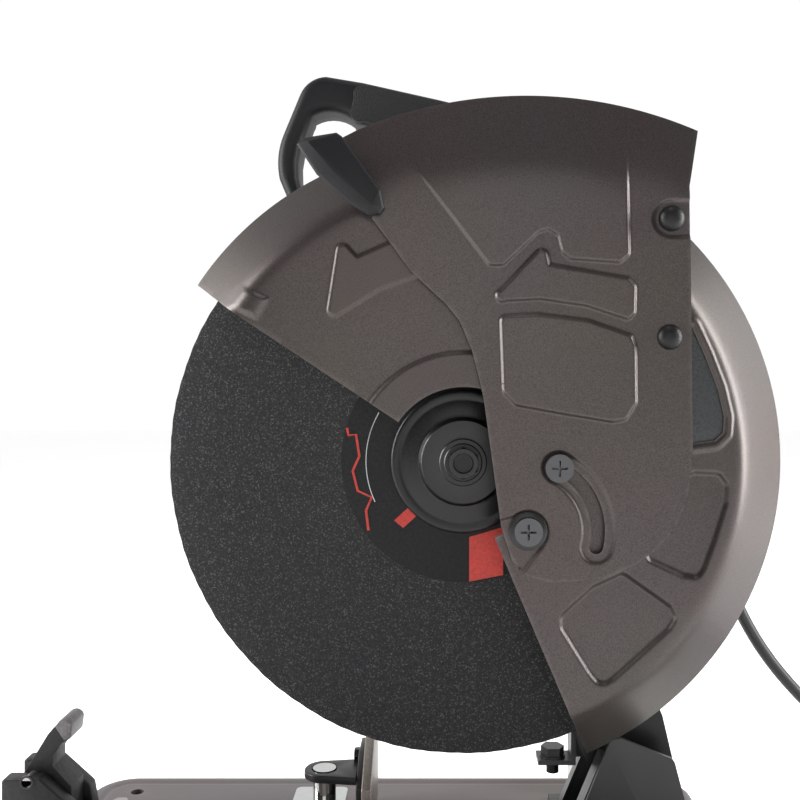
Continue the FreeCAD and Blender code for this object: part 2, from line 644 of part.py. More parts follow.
def hull_y(radius_hub, radius_motor, depth0, depth1):
    """Rounded shape round the spindle and the motor axis."""
    across = (MOTOR_X - SPINDLE_X, MOTOR_Z - SPINDLE_Z)
    tilt = degrees(atan2(across[1], across[0]))
    lean = degrees(atan2(radius_motor - radius_hub, GEAR_DISTANCE))
    first = polar(HUB, radius_hub, tilt - 90 - lean)
    second = polar(MOTOR, radius_motor, tilt - 90 - lean)
    third = polar(MOTOR, radius_motor, tilt + 90 + lean)
    fourth = polar(HUB, radius_hub, tilt + 90 + lean)
    web = prism_y([first, second, third, fourth], depth0, depth1)
    return web.fuse([rod_y(*HUB, radius_hub, depth0, depth1),
                     rod_y(*MOTOR, radius_motor, depth0, depth1)]).removeSplitter()


def gear_housing():
    case = hull_y(51.0, MOTOR_RADIUS, ARM_BACK, CASE_BACK)
    case = case.cut(rod_y(*HUB, GEAR_RADIUS + 3.0, ARM_BACK - 1, CASE_BACK + 1))
    case = case.cut(rod_y(*MOTOR, PINION_RADIUS + 5.0, ARM_BACK - 1, CASE_BACK + 1))
    saddle = box(MOTOR_X - 34, MOTOR_X + 30, WHEEL_Y + 46, WHEEL_Y + 60, MOTOR_Z + 40, SPINDLE_Z + 112)
    case = case.fuse(saddle.cut(rod_y(*MOTOR, MOTOR_RADIUS - 1, 40, 70))).removeSplitter()
    save("gear_case", case)
    plate = hull_y(51.0, MOTOR_RADIUS, CASE_BACK, PLATE_BACK)
    plate = plate.cut(rod_y(*HUB, 14.05, CASE_BACK - 1, 72.5))
    plate = plate.cut(rod_y(*LOCK_PLACE, 3.0 + RUNNING, CASE_BACK - 1, PLATE_BACK + 1))
    plate = plate.cut(rod_y(*MOTOR, 13.0, CASE_BACK - 1, 73.0)).cut(rod_y(*MOTOR, 7.0, 72.0, PLATE_BACK + 1))
    plate = drill_lugs(plate.fuse(motor_lugs(CASE_BACK, PLATE_BACK)))
    save("gear_cover", plate.removeSplitter())


def motor_screws():
    """Long screws that clamp the motor housing and end cap to the gear cover."""
    screws = []
    for angle in LUG_ANGLES:
        x, z = polar(MOTOR, LUG_RING, angle)
        head = rod_y(x, z, 4.0, LUG_BACK, LUG_BACK + 4)
        screws.append(head.fuse(rod_y(x, z, SCREW_SHANK, SCREW_START, LUG_BACK)))
    save("motor_screws", *screws)


# ---- arm ----------------------------------------------------------------------------
GUARD_BOSSES = (60.0, 130.0, -50.0)
BOSS_RING = 55.0
TAB_BOLT = from_hub(82, -175)
TAB_BOLT_RADIUS = 3.0


def arm_limb():
    outline = [from_hub(-42, -42), from_hub(66, -160), from_hub(76, -187), from_hub(98, -230),
               from_hub(137, -231), from_hub(139, -212), from_hub(128, -165), from_hub(60, 10)]
    return prism_y(outline, ARM_FRONT, ARM_BACK)


def arm():
    """Cast arm from the hinge pin up to the front wall of the gear case."""
    casting = arm_limb()
    casting = casting.fuse([rod_y(*HUB, 62.0, ARM_FRONT, ARM_BACK),
                            rod_y(*MOTOR, MOTOR_RADIUS, ARM_FRONT, ARM_BACK),
                            rod_y(ARM_PIVOT_X, ARM_PIVOT_Z, ARM_HUB_RADIUS, 10.0, 46.0),
                            rod_y(ARM_PIVOT_X, ARM_PIVOT_Z, 10.5, 46.0, 60.0)])
    for angle in GUARD_BOSSES:
        x, z = polar(HUB, BOSS_RING, angle)
        casting = casting.fuse(rod_y(x, z, 7.0, GUARD_BACK + GUARD_SHEET, ARM_FRONT))
    casting = casting.cut(rod_y(*HUB, 20.0, 31.0, ARM_BACK + 1)).cut(rod_y(*HUB, 16.0, 27.0, 32.0))
    casting = casting.cut(rod_y(ARM_PIVOT_X, ARM_PIVOT_Z, PIN_RADIUS + RUNNING, 0.0, 70.0))
    casting = casting.cut(rod_y(*TAB_BOLT, TAB_BOLT_RADIUS, ARM_FRONT - 1, ARM_BACK + 1))
    save("arm", casting.removeSplitter())


def depth_stop():
    """Tab with its adjusting bolt, under the front of the arm."""
    z = 102.0
    sheet = 3.0
    tab = box(SPINDLE_X + 49, SPINDLE_X + 73, WHEEL_Y + 30, WHEEL_Y + ARM_BACK + sheet, z, z + sheet)
    riser = box(SPINDLE_X + 70, SPINDLE_X + 73, WHEEL_Y + 30, WHEEL_Y + ARM_BACK + sheet, z, z + 30)
    ear = box(SPINDLE_X + 70, SPINDLE_X + 94, WHEEL_Y + ARM_BACK, WHEEL_Y + ARM_BACK + sheet, z, z + 30)
    bracket = tab.fuse([riser, ear])
    bracket = bracket.cut(rod_z(SPINDLE_X + 59, WHEEL_Y + 38, 4.0, z - 1, z + sheet + 1))
    bracket = bracket.cut(arm_limb()).cut(rod_y(*TAB_BOLT, TAB_BOLT_RADIUS, ARM_BACK - 1, ARM_BACK + 4))
    save("depth_stop_tab", bracket.removeSplitter())
    seat = z + sheet + 1.5
    bolt = bolt_z(SPINDLE_X + 59, WHEEL_Y + 38, 4.0, 13.0, seat, seat - 95.0)
    washer = rod_z(SPINDLE_X + 59, WHEEL_Y + 38, 8.0, z + sheet, seat)
    cross = rod_y(*TAB_BOLT, TAB_BOLT_RADIUS, ARM_FRONT, ARM_BACK + 3)
    cross = cross.fuse(hex_y(*TAB_BOLT, 10.0, ARM_BACK + 3, ARM_BACK + 7))
    save("depth_stop_bolts", bolt.fuse(washer), cross)


def spindle_lock():
    """Push button on the gear cover; pressed further it would drop into the gear's lock hole."""
    x, z = LOCK_PLACE
    stem = rod_y(x, z, 3.0, CASE_BACK + 1, PLATE_BACK + 8)
    save("spindle_lock", stem.fuse(rod_y(x, z, 6.5, PLATE_BACK + 6, PLATE_BACK + 15)))


# ---- guards -------------------------------------------------------------------------
GUARD_LEFT = 146.5
GUARD_RIGHT = -67.0
ARCH_RADIUS = 45.0
SLOT_RADIUS = 40.0
SLOT_TOP = 64.0
SLOT_BOTTOM = -13.5
STOP = polar(COVER_PIVOT, SLOT_RADIUS, SLOT_TOP)


def sector_prism(inner, outer, low, high, depth0, depth1):
    """Ring sector about the spindle; each arc is split in two so that it may pass a half turn."""
    angles = [low + (high - low) * part / 4 for part in range(5)]
    points = [polar(HUB, outer, low),
              polar(HUB, outer, angles[2]) + polar(HUB, outer, angles[1]),
              polar(HUB, outer, high) + polar(HUB, outer, angles[3]),
              polar(HUB, inner, high),
              polar(HUB, inner, angles[2]) + polar(HUB, inner, angles[3]),
              polar(HUB, inner, low) + polar(HUB, inner, angles[1])]
    return prism_y(points, depth0, depth1)


def spun_shell(centre, profile):
    """Profile of (radius, depth) points turned about an axis along Y."""
    points = [V(centre[0] + radius, WHEEL_Y + depth, centre[1]) for radius, depth in profile]
    face = Part.Face(Part.makePolygon(points + points[:1]))
    return face.revolve(V(centre[0], WHEEL_Y, centre[1]), V(0, 1, 0), 360)


def fixed_guard():
    face = -GUARD_FACE_DEPTH
    thin = GUARD_SHEET
    slant = thin * tan(pi / 8)
    profile = [(0, face), (GUARD_FACE_RADIUS, face), (GUARD_RADIUS, 0), (GUARD_RADIUS, GUARD_BACK),
               (GUARD_RADIUS - thin, GUARD_BACK), (GUARD_RADIUS - thin, slant),
               (GUARD_FACE_RADIUS - slant, face + thin), (0, face + thin)]
    shell = spun_shell(HUB, profile)
    shell = shell.common(sector_prism(ARCH_RADIUS, 220.0, GUARD_RIGHT, GUARD_LEFT, -60, 40))
    shell = shell.cut(sector_prism(118.0, 151.0, 6.0, 31.0, face - 1, face + 3))
    shell = shell.cut(rod_y(*COVER_PIVOT, 4.0, face - 1, face + 3))
    shell = shell.cut(rod_y(*STOP, 3.5, face - 1, face + 3))
    save("fixed_guard", shell)
    panel = sector_prism(114.0, 154.0, 4.0, 33.0, face + thin, face + thin + 1.5)
    save("guard_window", panel)
    back = sector_prism(48.0, GUARD_RADIUS, GUARD_RIGHT, GUARD_LEFT, GUARD_BACK, GUARD_BACK + thin)
    for angle in GUARD_BOSSES:
        back = back.cut(rod_y(*polar(HUB, BOSS_RING, angle), 2.5, GUARD_BACK - 1, GUARD_BACK + 3))
    save("guard_back", back)
    screws = [screw_front(*polar(HUB, BOSS_RING, angle), 5.0, 2.5, GUARD_BACK, thin)
              for angle in GUARD_BOSSES]
    save("guard_screws", *screws)


def guard_pivot_screws():
    """Shouldered pivot screw and stop screw, each with its spacer and nut behind the guard."""
    face = -GUARD_FACE_DEPTH
    screws = []
    for (x, z), shank in ((COVER_PIVOT, 4.0), (STOP, 3.5)):
        screw = screw_front(x, z, 8.0, shank, -COVER_FACE_DEPTH - 0.3, COVER_FACE_DEPTH + 0.3 + face + 2)
        spacer = rod_y(x, z, shank + 3.5, -COVER_FACE_DEPTH + GUARD_SHEET + 0.3, face)
        nut = hex_y(x, z, 13.0, face + GUARD_SHEET, face + GUARD_SHEET + 5)
        screws.append(screw.fuse([spacer, nut]))
    save("guard_pivot_screws", *screws)


COVER_LIP = 6.0
BUMPERS = ((81.8, 177.7), (80.6, 110.2))
BUMPER_RADIUS = 7.4


def movable_guard():
    face = -COVER_FACE_DEPTH
    thin = GUARD_SHEET
    rim_depth = face + 9.0
    profile = [(0, face), (COVER_CREASE, face), (COVER_RADIUS, rim_depth), (COVER_RADIUS, COVER_LIP),
               (COVER_RADIUS - thin, COVER_LIP), (COVER_RADIUS - thin, rim_depth + 1.2),
               (COVER_CREASE - 0.4, face + thin), (0, face + thin)]
    shell = spun_shell(COVER_PIVOT, profile)
    outline = [from_cover(-25, 74.3) + from_cover(-32.3, 104), from_cover(-15.2, 2.4),
               from_cover(12, -29) + from_cover(-9, -18.5),
               from_cover(68.3, -15) + from_cover(42, -27.5),
               from_cover(93.5, 45) + from_cover(88.5, 13),
               from_cover(91.7, 196.2), from_cover(101.5, 242), from_cover(0, 275),
               from_cover(-112.9, 242), from_cover(-88.5, 177.6), from_cover(-48, 130.5)]
    shell = shell.common(prism_y(outline, -60, 40))
    shell = shell.cut(rod_y(*COVER_PIVOT, 4.0 + RUNNING, face - 1, face + 3))
    slot_points = []
    for radius, start, end in ((SLOT_RADIUS + 4, SLOT_BOTTOM, SLOT_TOP), (SLOT_RADIUS - 4, SLOT_TOP, SLOT_BOTTOM)):
        middle = (start + end) / 2
        slot_points.append(polar(COVER_PIVOT, radius, start))
        slot_points.append(polar(COVER_PIVOT, radius, end) + polar(COVER_PIVOT, radius, middle))
    shell = shell.cut(prism_y(slot_points, face - 1, face + 3))
    for angle in (SLOT_BOTTOM, SLOT_TOP):
        shell = shell.cut(rod_y(*polar(COVER_PIVOT, SLOT_RADIUS, angle), 4.0, face - 1, face + 3))
    for place in BUMPERS:
        shell = shell.cut(rod_y(*from_cover(*place), 2.5, face - 1, face + 3))
    save("movable_guard", shell)
    bumpers = []
    for place in BUMPERS:
        x, z = from_cover(*place)
        dome = rod_y(x, z, BUMPER_RADIUS, face - 5.0, face)
        dome = dome.makeFillet(3.0, [edge for edge in dome.Edges if edge.BoundBox.YMax < WHEEL_Y + face - 4.9])
        bumpers.append(dome.fuse(rod_y(x, z, 2.5, face, face + 4.0)))
    save("guard_bumpers", *bumpers)


def thumb_tab():
    outline = [(-131, 219), (-127, 222.5), (-108.5, 225.5), (-105.5, 223.5), (-90.5, 198.5), (-83.5, 193),
               (-81.5, 183), (-84, 179.5), (-90, 178.5), (-101.5, 185.5), (-120, 202.5)]
    front = -COVER_FACE_DEPTH - 7.0
    tab = prism_y([from_cover(*point) for point in outline], front, -COVER_FACE_DEPTH)
    save("thumb_tab", tab)


# ---- handle -------------------------------------------------------------------------
HANDLE_SPLIT = 55.0
HANDLE_HALF = 16.0
HANDLE_OUTER = [from_hub(60, 112), from_hub(66, 150), from_hub(62, 200), from_hub(40, 219),
                from_hub(-15, 232), from_hub(-64, 243), from_hub(-88, 247),
                from_hub(-105, 235.5) + from_hub(-98.5, 243.5), from_hub(-116, 209),
                from_hub(-118.5, 180) + from_hub(-119.5, 194), from_hub(-106, 150),
                from_hub(-60, 112) + from_hub(-88, 124)]
HANDLE_INNER = [from_hub(15, 140), from_hub(34, 168) + from_hub(30, 148), from_hub(0, 200) + from_hub(25, 190),
                from_hub(-68, 216), from_hub(-97, 221) + from_hub(-84, 224), from_hub(-104.5, 200),
                from_hub(-70, 140) + from_hub(-98, 160)]
TRIGGER_PIVOT = from_hub(-8, 209)
HANDLE_SCREWS = ((50, 130), (48, 205), (-103.5, 222), (-92, 142))


def handle_pockets(depth0, depth1):
    """Room for the trigger and the switch inside the grip."""
    trigger_room = prism_y([from_hub(-64, 192), from_hub(-2, 185), from_hub(-2, 218), from_hub(-64, 230)],
                           depth0, depth1)
    switch_room = box(SPINDLE_X - 50, SPINDLE_X - 22, WHEEL_Y + HANDLE_SPLIT - 8, WHEEL_Y + HANDLE_SPLIT + 8,
                      SPINDLE_Z + 221, SPINDLE_Z + 231)
    return trigger_room.fuse(switch_room)


def grip_band():
    """Region of the grip that the rubber insert takes up."""
    return prism_y([from_hub(-70, 232), from_hub(4, 215), from_hub(4, 260), from_hub(-70, 260)],
                   HANDLE_SPLIT - 30, HANDLE_SPLIT + 30)


def handle():
    whole = prism_y(HANDLE_OUTER, HANDLE_SPLIT - HANDLE_HALF, HANDLE_SPLIT + HANDLE_HALF)
    whole = whole.cut(prism_y(HANDLE_INNER, HANDLE_SPLIT - 30, HANDLE_SPLIT + 30))
    insert = whole.common(grip_band())
    core = prism_y([from_hub(-90, 200), from_hub(40, 190), from_hub(40, 213), from_hub(-90, 237.5)],
                   HANDLE_SPLIT - 9, HANDLE_SPLIT + 9)
    insert = insert.cut(core).cut(handle_pockets(HANDLE_SPLIT - 8, HANDLE_SPLIT + 8))
    body = whole.cut(grip_band()).cut(handle_pockets(HANDLE_SPLIT - 6.5, HANDLE_SPLIT + 6.5))
    body = body.fuse(whole.common(core).common(grip_band()).cut(handle_pockets(HANDLE_SPLIT - 6.5,
                                                                              HANDLE_SPLIT + 6.5)))
    for x, z in HANDLE_SCREWS:
        body = body.cut(rod_y(*from_hub(x, z), 2.0, HANDLE_SPLIT - 12, HANDLE_SPLIT + 40))
        body = body.cut(rod_y(*from_hub(x, z), 4.5, HANDLE_SPLIT + HANDLE_HALF - 3, HANDLE_SPLIT + 40))
    body = body.cut(rod_y(*TRIGGER_PIVOT, 2.0, HANDLE_SPLIT - 10, HANDLE_SPLIT + 10))
    left = box(-400, 400, WHEEL_Y, WHEEL_Y + HANDLE_SPLIT, 300, 700)
    right = box(-400, 400, WHEEL_Y + HANDLE_SPLIT, WHEEL_Y + 200, 300, 700)
    save("handle_left", body.common(left).removeSplitter())
    save("handle_right", body.common(right).removeSplitter())
    save("grip_insert", insert)
    screws = []
    for x, z in HANDLE_SCREWS:
        seat = HANDLE_SPLIT + HANDLE_HALF - 3
        head = rod_y(*from_hub(x, z), 4.0, seat, seat + 2.4)
        screws.append(head.fuse(rod_y(*from_hub(x, z), 2.0, HANDLE_SPLIT - 12, seat)))
    save("handle_screws", *screws)


def switch_and_trigger():
    case = box(SPINDLE_X - 49.5, SPINDLE_X - 22.5, WHEEL_Y + HANDLE_SPLIT - 8, WHEEL_Y + HANDLE_SPLIT + 8,
               SPINDLE_Z + 223, SPINDLE_Z + 231)
    save("switch", case)
    outline = [from_hub(-3, 204), from_hub(-3, 213), from_hub(-12, 214.5), from_hub(-56, 217.5),
               from_hub(-58, 204), from_hub(-50, 200.5) + from_hub(-55.5, 200.5), from_hub(-30, 201.5)]
    lever = prism_y(outline, HANDLE_SPLIT - 6, HANDLE_SPLIT + 6)
    save("trigger", lever.cut(rod_y(*TRIGGER_PIVOT, 2.0 + RUNNING, HANDLE_SPLIT - 10, HANDLE_SPLIT + 10)))
    save("trigger_pin", rod_y(*TRIGGER_PIVOT, 2.0, HANDLE_SPLIT - 10, HANDLE_SPLIT + 10))


# ---- cord ---------------------------------------------------------------------------
# Route from the gland to the coil, from the spindle axis in X, wheel plane in Y, bench in Z.
CORD_ROUTE = [(98.8, 137, 326), (122, 137, 324), (151, 137, 303), (177, 137, 260), (198, 137, 204),
              (222, 137, 152), (258, 138, 108), (300, 140, 72), (333, 142, 46), (362, 137, 24),
              (385, 119, 10), (395, 92, 4.7), (396, 66, 4.7)]
COIL_X = 342.0
COIL_DEPTH = 31.0
COIL_RADIUS = 54.0
COIL_INNER = 39.5
COIL_HEIGHT = 27.0
TAIL_X = 308.0
TAIL_Z = 18.5


def route_point(x, depth, z):
    return V(SPINDLE_X + x, WHEEL_Y + depth, z)


def cord():
    """Tube along straight runs joined by arcs; prints each arc's radius and the volume check."""
    route = [route_point(*point) for point in CORD_ROUTE]
    edges = []
    start = route[0]
    for before, corner, after in zip(route, route[1:], route[2:]):
        incoming = corner - before
        outgoing = after - corner
        half_turn = incoming.getAngle(outgoing) / 2
        cut_back = 0.45 * min(incoming.Length, outgoing.Length)
        radius = cut_back / tan(half_turn)
        print("cord turn radius", round(radius, 1))
        incoming.normalize()
        outgoing.normalize()
        arc_start = corner - incoming * cut_back
        arc_end = corner + outgoing * cut_back
        inward = outgoing - incoming
        inward.normalize()
        arc_middle = corner + inward * (radius / cos(half_turn) - radius)
        edges.append(Part.LineSegment(start, arc_start).toShape())
        edges.append(Part.Arc(arc_start, arc_middle, arc_end).toShape())
        start = arc_end
    edges.append(Part.LineSegment(start, route[-1]).toShape())
    path = Part.Wire(edges)
    section = Part.Wire(Part.makeCircle(CORD_RADIUS, route[0], route[1] - route[0]))
    tube = path.makePipeShell([section], True, True)
    print("cord length", round(path.Length, 1), "volume ratio",
          round(tube.Volume / (pi * CORD_RADIUS ** 2 * path.Length), 4))
    save("cord", tube)


def cord_coil():
    """Outer shape of the wound length, with the stubs where the cord comes in and goes out."""
    centre_x = SPINDLE_X + COIL_X
    centre_y = WHEEL_Y + COIL_DEPTH
    ring = rod_z(centre_x, centre_y, COIL_RADIUS + CORD_RADIUS, 0, COIL_HEIGHT)
    ring = ring.cut(rod_z(centre_x, centre_y, COIL_INNER, -1, COIL_HEIGHT + 1))
    entry = Part.makeCylinder(CORD_RADIUS, 35.0,
                              route_point(COIL_X + COIL_RADIUS, COIL_DEPTH, CORD_ROUTE[-1][2]), V(0, 1, 0))
    tail = Part.makeCylinder(CORD_RADIUS, COIL_X - TAIL_X,
                             route_point(TAIL_X, COIL_DEPTH - COIL_RADIUS, TAIL_Z), V(1, 0, 0))
    save("cord_coil", ring.fuse([entry, tail]).removeSplitter())


def plug():
    """Two-pin earthed mains plug lying beside the coil."""
    y = WHEEL_Y + COIL_DEPTH - COIL_RADIUS
    tip = SPINDLE_X + TAIL_X
    relief = Part.makeCone(10.0, 6.0, 26.0, V(tip - 26, y, TAIL_Z), V(1, 0, 0))
    body = rod_x(y, TAIL_Z, 18.5, tip - 62, tip - 26)
    body = body.makeFillet(3.0, [edge for edge in body.Edges if edge.BoundBox.XMin > tip - 27])
    pins = []
    for side in (-1, 1):
        pins.append(rod_x(y + side * 9.5, TAIL_Z, 2.4, tip - 81, tip - 62))
    save("plug", body.fuse(relief), *pins)


def cord_gland():
    """Screwed gland on the motor housing; its nose tapers to the cord."""
    y = WHEEL_Y + GLAND_DEPTH
    nose_length = 20.0
    nut_start = MOTOR_X + 53.6
    body = rod_x(y, GLAND_Z, GLAND_RADIUS, GLAND_ROOT, nut_start)
    nut = rod_x(y, GLAND_Z, 9.0, nut_start, GLAND_TIP - nose_length)
    nose = Part.makeCone(8.0, 5.5, nose_length, V(GLAND_TIP - nose_length, y, GLAND_Z), V(1, 0, 0))
    save("cord_gland", body.fuse([nut, nose]))


def main():
    pan = [base_pan, rubber_feet, rear_bracket, pivot_pin, return_spring, fence, base_bolts]
    vise = [vise_nut_block, lever_pin, nut_lever, vise_screw, vise_crank, crank_knob, jaw_carrier, vise_jaw]
    wheel = [spindle, wheel_parts, spindle_gear]
    motor = [armature, cooling_fan, motor_fixed, motor_housing, motor_end_cap, gear_housing, motor_screws]
    head = [arm, depth_stop, spindle_lock, fixed_guard, guard_pivot_screws, movable_guard, thumb_tab,
            handle, switch_and_trigger]
    lead = [cord, cord_coil, plug, cord_gland]
    for group in (pan, vise, wheel, motor, head, lead):
        for make in group:
            make()


main()
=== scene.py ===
import math

import bmesh
import bpy
import numpy as np
from mathutils import Matrix, Vector, geometry


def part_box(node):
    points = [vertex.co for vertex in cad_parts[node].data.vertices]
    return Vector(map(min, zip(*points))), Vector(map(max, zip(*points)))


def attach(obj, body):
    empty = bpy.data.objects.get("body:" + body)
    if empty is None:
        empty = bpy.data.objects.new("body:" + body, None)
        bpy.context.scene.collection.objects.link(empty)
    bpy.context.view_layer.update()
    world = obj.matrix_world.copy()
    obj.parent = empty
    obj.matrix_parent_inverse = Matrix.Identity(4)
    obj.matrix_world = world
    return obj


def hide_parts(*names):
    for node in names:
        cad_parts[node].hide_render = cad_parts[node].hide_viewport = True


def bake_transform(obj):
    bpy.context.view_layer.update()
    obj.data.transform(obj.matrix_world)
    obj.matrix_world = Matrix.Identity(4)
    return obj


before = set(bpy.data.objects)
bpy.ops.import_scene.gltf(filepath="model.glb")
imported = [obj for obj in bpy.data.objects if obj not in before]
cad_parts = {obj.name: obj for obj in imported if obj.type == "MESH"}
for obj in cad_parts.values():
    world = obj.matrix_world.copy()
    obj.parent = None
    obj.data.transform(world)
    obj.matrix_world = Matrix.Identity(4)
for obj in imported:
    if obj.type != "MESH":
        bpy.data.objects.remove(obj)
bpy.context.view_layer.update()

MM = 0.001


# ---- places read from the frame -----------------------------------------------------
def middle(node):
    """Centre of a node at rest."""
    low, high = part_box(node)
    return [(a + b) / 2 for a, b in zip(low, high)]


HUB_X, WHEEL_Y, HUB_Z = middle("abrasive_wheel")
WHEEL_RADIUS = (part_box("abrasive_wheel")[1][2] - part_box("abrasive_wheel")[0][2]) / 2
# Pivot of the lower guard from the hub, in millimetres; COVER_X and COVER_Z are the same place in metres.
PIVOT = (36.3, -36.9)
COVER_X = HUB_X + PIVOT[0] * MM
COVER_Z = HUB_Z + PIVOT[1] * MM


def at(x, depth, z):
    """Point from the hub in millimetres: right, behind the wheel plane, up."""
    return Vector((HUB_X + x * MM, WHEEL_Y + depth * MM, HUB_Z + z * MM))


# ---- materials ----------------------------------------------------------------------
BLACK = (0.0, 0.0, 0.0)
WHITE = (1.0, 1.0, 1.0)


def colour_ramp(nodes, places, colours):
    made = nodes.new("ShaderNodeValToRGB")
    for stop, place, colour in zip(made.color_ramp.elements, places, colours):
        stop.position = place
        stop.color = (*colour, 1)
    return made


def material(name, base, roughness, metallic=0.0, grain=400.0, spread=0.12, bump=0.03, wear=0.0,
             fine=None, rough_spread=0.1, coat=0.0, specular=0.5, worn_colour=(0.5, 0.49, 0.48)):
    """Principled surface with grain in colour, roughness and bump, and lighter worn edges."""
    made = bpy.data.materials.new(name)
    made.use_nodes = True
    nodes = made.node_tree.nodes
    links = made.node_tree.links
    shader = nodes["Principled BSDF"]
    shader.inputs["Metallic"].default_value = metallic
    shader.inputs["Coat Weight"].default_value = coat
    shader.inputs["Specular IOR Level"].default_value = specular
    place = nodes.new("ShaderNodeTexCoord")
    small = nodes.new("ShaderNodeTexNoise")
    small.inputs["Scale"].default_value = grain
    small.inputs["Detail"].default_value = 4.0
    links.new(place.outputs["Object"], small.inputs["Vector"])
    broad = nodes.new("ShaderNodeTexNoise")
    broad.inputs["Scale"].default_value = 9.0
    broad.inputs["Detail"].default_value = 3.0
    links.new(place.outputs["Object"], broad.inputs["Vector"])
    dark = [channel * (1 - spread) for channel in base]
    light = [min(1.0, channel * (1 + spread)) for channel in base]
    ramp = colour_ramp(nodes, (0.32, 0.68), (dark, light))
    links.new(small.outputs["Fac"], ramp.inputs["Fac"])
    tone = nodes.new("ShaderNodeMix")
    tone.data_type = "RGBA"
    tone.blend_type = "MULTIPLY"
    tone.inputs["Factor"].default_value = 0.25
    links.new(ramp.outputs["Color"], tone.inputs["A"])
    links.new(broad.outputs["Color"], tone.inputs["B"])
    colour = tone.outputs["Result"]
    if wear:
        edges = nodes.new("ShaderNodeNewGeometry")
        pick = colour_ramp(nodes, (0.54, 0.66), (BLACK, WHITE))
        links.new(edges.outputs["Pointiness"], pick.inputs["Fac"])
        amount = nodes.new("ShaderNodeMath")
        amount.operation = "MULTIPLY"
        amount.inputs[1].default_value = wear
        links.new(pick.outputs["Color"], amount.inputs[0])
        worn = nodes.new("ShaderNodeMix")
        worn.data_type = "RGBA"
        worn.inputs["B"].default_value = (*worn_colour, 1)
        links.new(amount.outputs["Value"], worn.inputs["Factor"])
        links.new(colour, worn.inputs["A"])
        colour = worn.outputs["Result"]
    links.new(colour, shader.inputs["Base Color"])
    range_node = nodes.new("ShaderNodeMapRange")
    range_node.inputs["To Min"].default_value = max(0.02, roughness - rough_spread)
    range_node.inputs["To Max"].default_value = min(1.0, roughness + rough_spread)
    links.new(small.outputs["Fac"], range_node.inputs["Value"])
    links.new(range_node.outputs["Result"], shader.inputs["Roughness"])
    height = nodes.new("ShaderNodeBump")
    height.inputs["Strength"].default_value = bump
    height.inputs["Distance"].default_value = 0.0005
    if fine:
        cells = nodes.new("ShaderNodeTexVoronoi")
        cells.inputs["Scale"].default_value = fine
        links.new(place.outputs["Object"], cells.inputs["Vector"])
        links.new(cells.outputs["Distance"], height.inputs["Height"])
    else:
        links.new(small.outputs["Fac"], height.inputs["Height"])
    links.new(height.outputs["Normal"], shader.inputs["Normal"])
    return made


GUARD_PAINT = material("guard_paint", (0.085, 0.072, 0.068), 0.36, metallic=0.6, grain=1700, spread=0.3,
                       bump=0.10, wear=0.35, rough_spread=0.05, worn_colour=(0.30, 0.27, 0.26))
BASE_PAINT = material("base_paint", (0.17, 0.152, 0.148), 0.42, metallic=0.45, grain=1200, spread=0.12,
                      bump=0.08, wear=0.25, worn_colour=(0.36, 0.33, 0.32))
BLACK_PAINT = material("black_paint", (0.010, 0.010, 0.0105), 0.36, metallic=0.1, grain=900, bump=0.08,
                       wear=0.5, worn_colour=(0.16, 0.16, 0.16), specular=0.35)
CAST_BLACK = material("cast_black", (0.014, 0.014, 0.015), 0.52, metallic=0.2, grain=260, spread=0.35,
                      bump=0.75, wear=0.3, worn_colour=(0.11, 0.11, 0.11))
STEEL = material("steel", (0.44, 0.42, 0.40), 0.34, metallic=0.9, grain=700, spread=0.10, bump=0.06,
                 wear=0.1)
DARK_STEEL = material("dark_steel", (0.010, 0.010, 0.0105), 0.34, metallic=0.3, grain=600, spread=0.3,
                      bump=0.12, wear=0.35, worn_colour=(0.13, 0.13, 0.13))
CHROME = material("chrome", (0.62, 0.62, 0.62), 0.12, metallic=1.0, grain=300, spread=0.03, bump=0.01,
                  rough_spread=0.04)
PLASTIC = material("black_plastic", (0.011, 0.011, 0.0125), 0.5, grain=1600, spread=0.15, bump=0.16,
                   wear=0.12, worn_colour=(0.05, 0.05, 0.052), specular=0.28)
RUBBER = material("rubber", (0.010, 0.010, 0.010), 0.42, grain=900, spread=0.2, bump=0.2, specular=0.3)
CORD_RUBBER = material("cord_rubber", (0.016, 0.016, 0.017), 0.5, grain=700, spread=0.2, bump=0.12)
COPPER = material("copper", (0.55, 0.25, 0.12), 0.35, metallic=0.9, grain=500, spread=0.2, bump=0.2)
LABEL_BLACK = material("label_black", (0.014, 0.014, 0.015), 0.55, grain=500, spread=0.35, bump=0.25,
                       specular=0.2)
LABEL_RED = material("label_red", (0.55, 0.035, 0.022), 0.5, grain=600, spread=0.2, bump=0.2)
WINDOW = material("window_plastic", (0.05, 0.053, 0.056), 0.28, grain=700, spread=0.06, bump=0.03, coat=0.3)


def abrasive_material():
    """Bonded grain: dark resin with lighter crystals that stand out of it."""
    made = material("abrasive", (0.019, 0.0185, 0.0195), 0.86, grain=900, spread=0.6, bump=0.9,
                    rough_spread=0.15)
    nodes = made.node_tree.nodes
    links = made.node_tree.links
    place = nodes.new("ShaderNodeTexCoord")
    cells = nodes.new("ShaderNodeTexVoronoi")
    cells.inputs["Scale"].default_value = 1500.0
    links.new(place.outputs["Object"], cells.inputs["Vector"])
    speck = colour_ramp(nodes, (0.80, 0.98), (BLACK, (0.6, 0.6, 0.6)))
    split = nodes.new("ShaderNodeSeparateColor")
    links.new(cells.outputs["Color"], split.inputs["Color"])
    links.new(split.outputs["Red"], speck.inputs["Fac"])
    shader = nodes["Principled BSDF"]
    below = shader.inputs["Base Color"].links[0].from_socket
    mixed = nodes.new("ShaderNodeMix")
    mixed.data_type = "RGBA"
    mixed.inputs["B"].default_value = (0.13, 0.125, 0.125, 1)
    links.new(speck.outputs["Color"], mixed.inputs["Factor"])
    links.new(below, mixed.inputs["A"])
    links.new(mixed.outputs["Result"], shader.inputs["Base Color"])
    return made


ABRASIVE = abrasive_material()

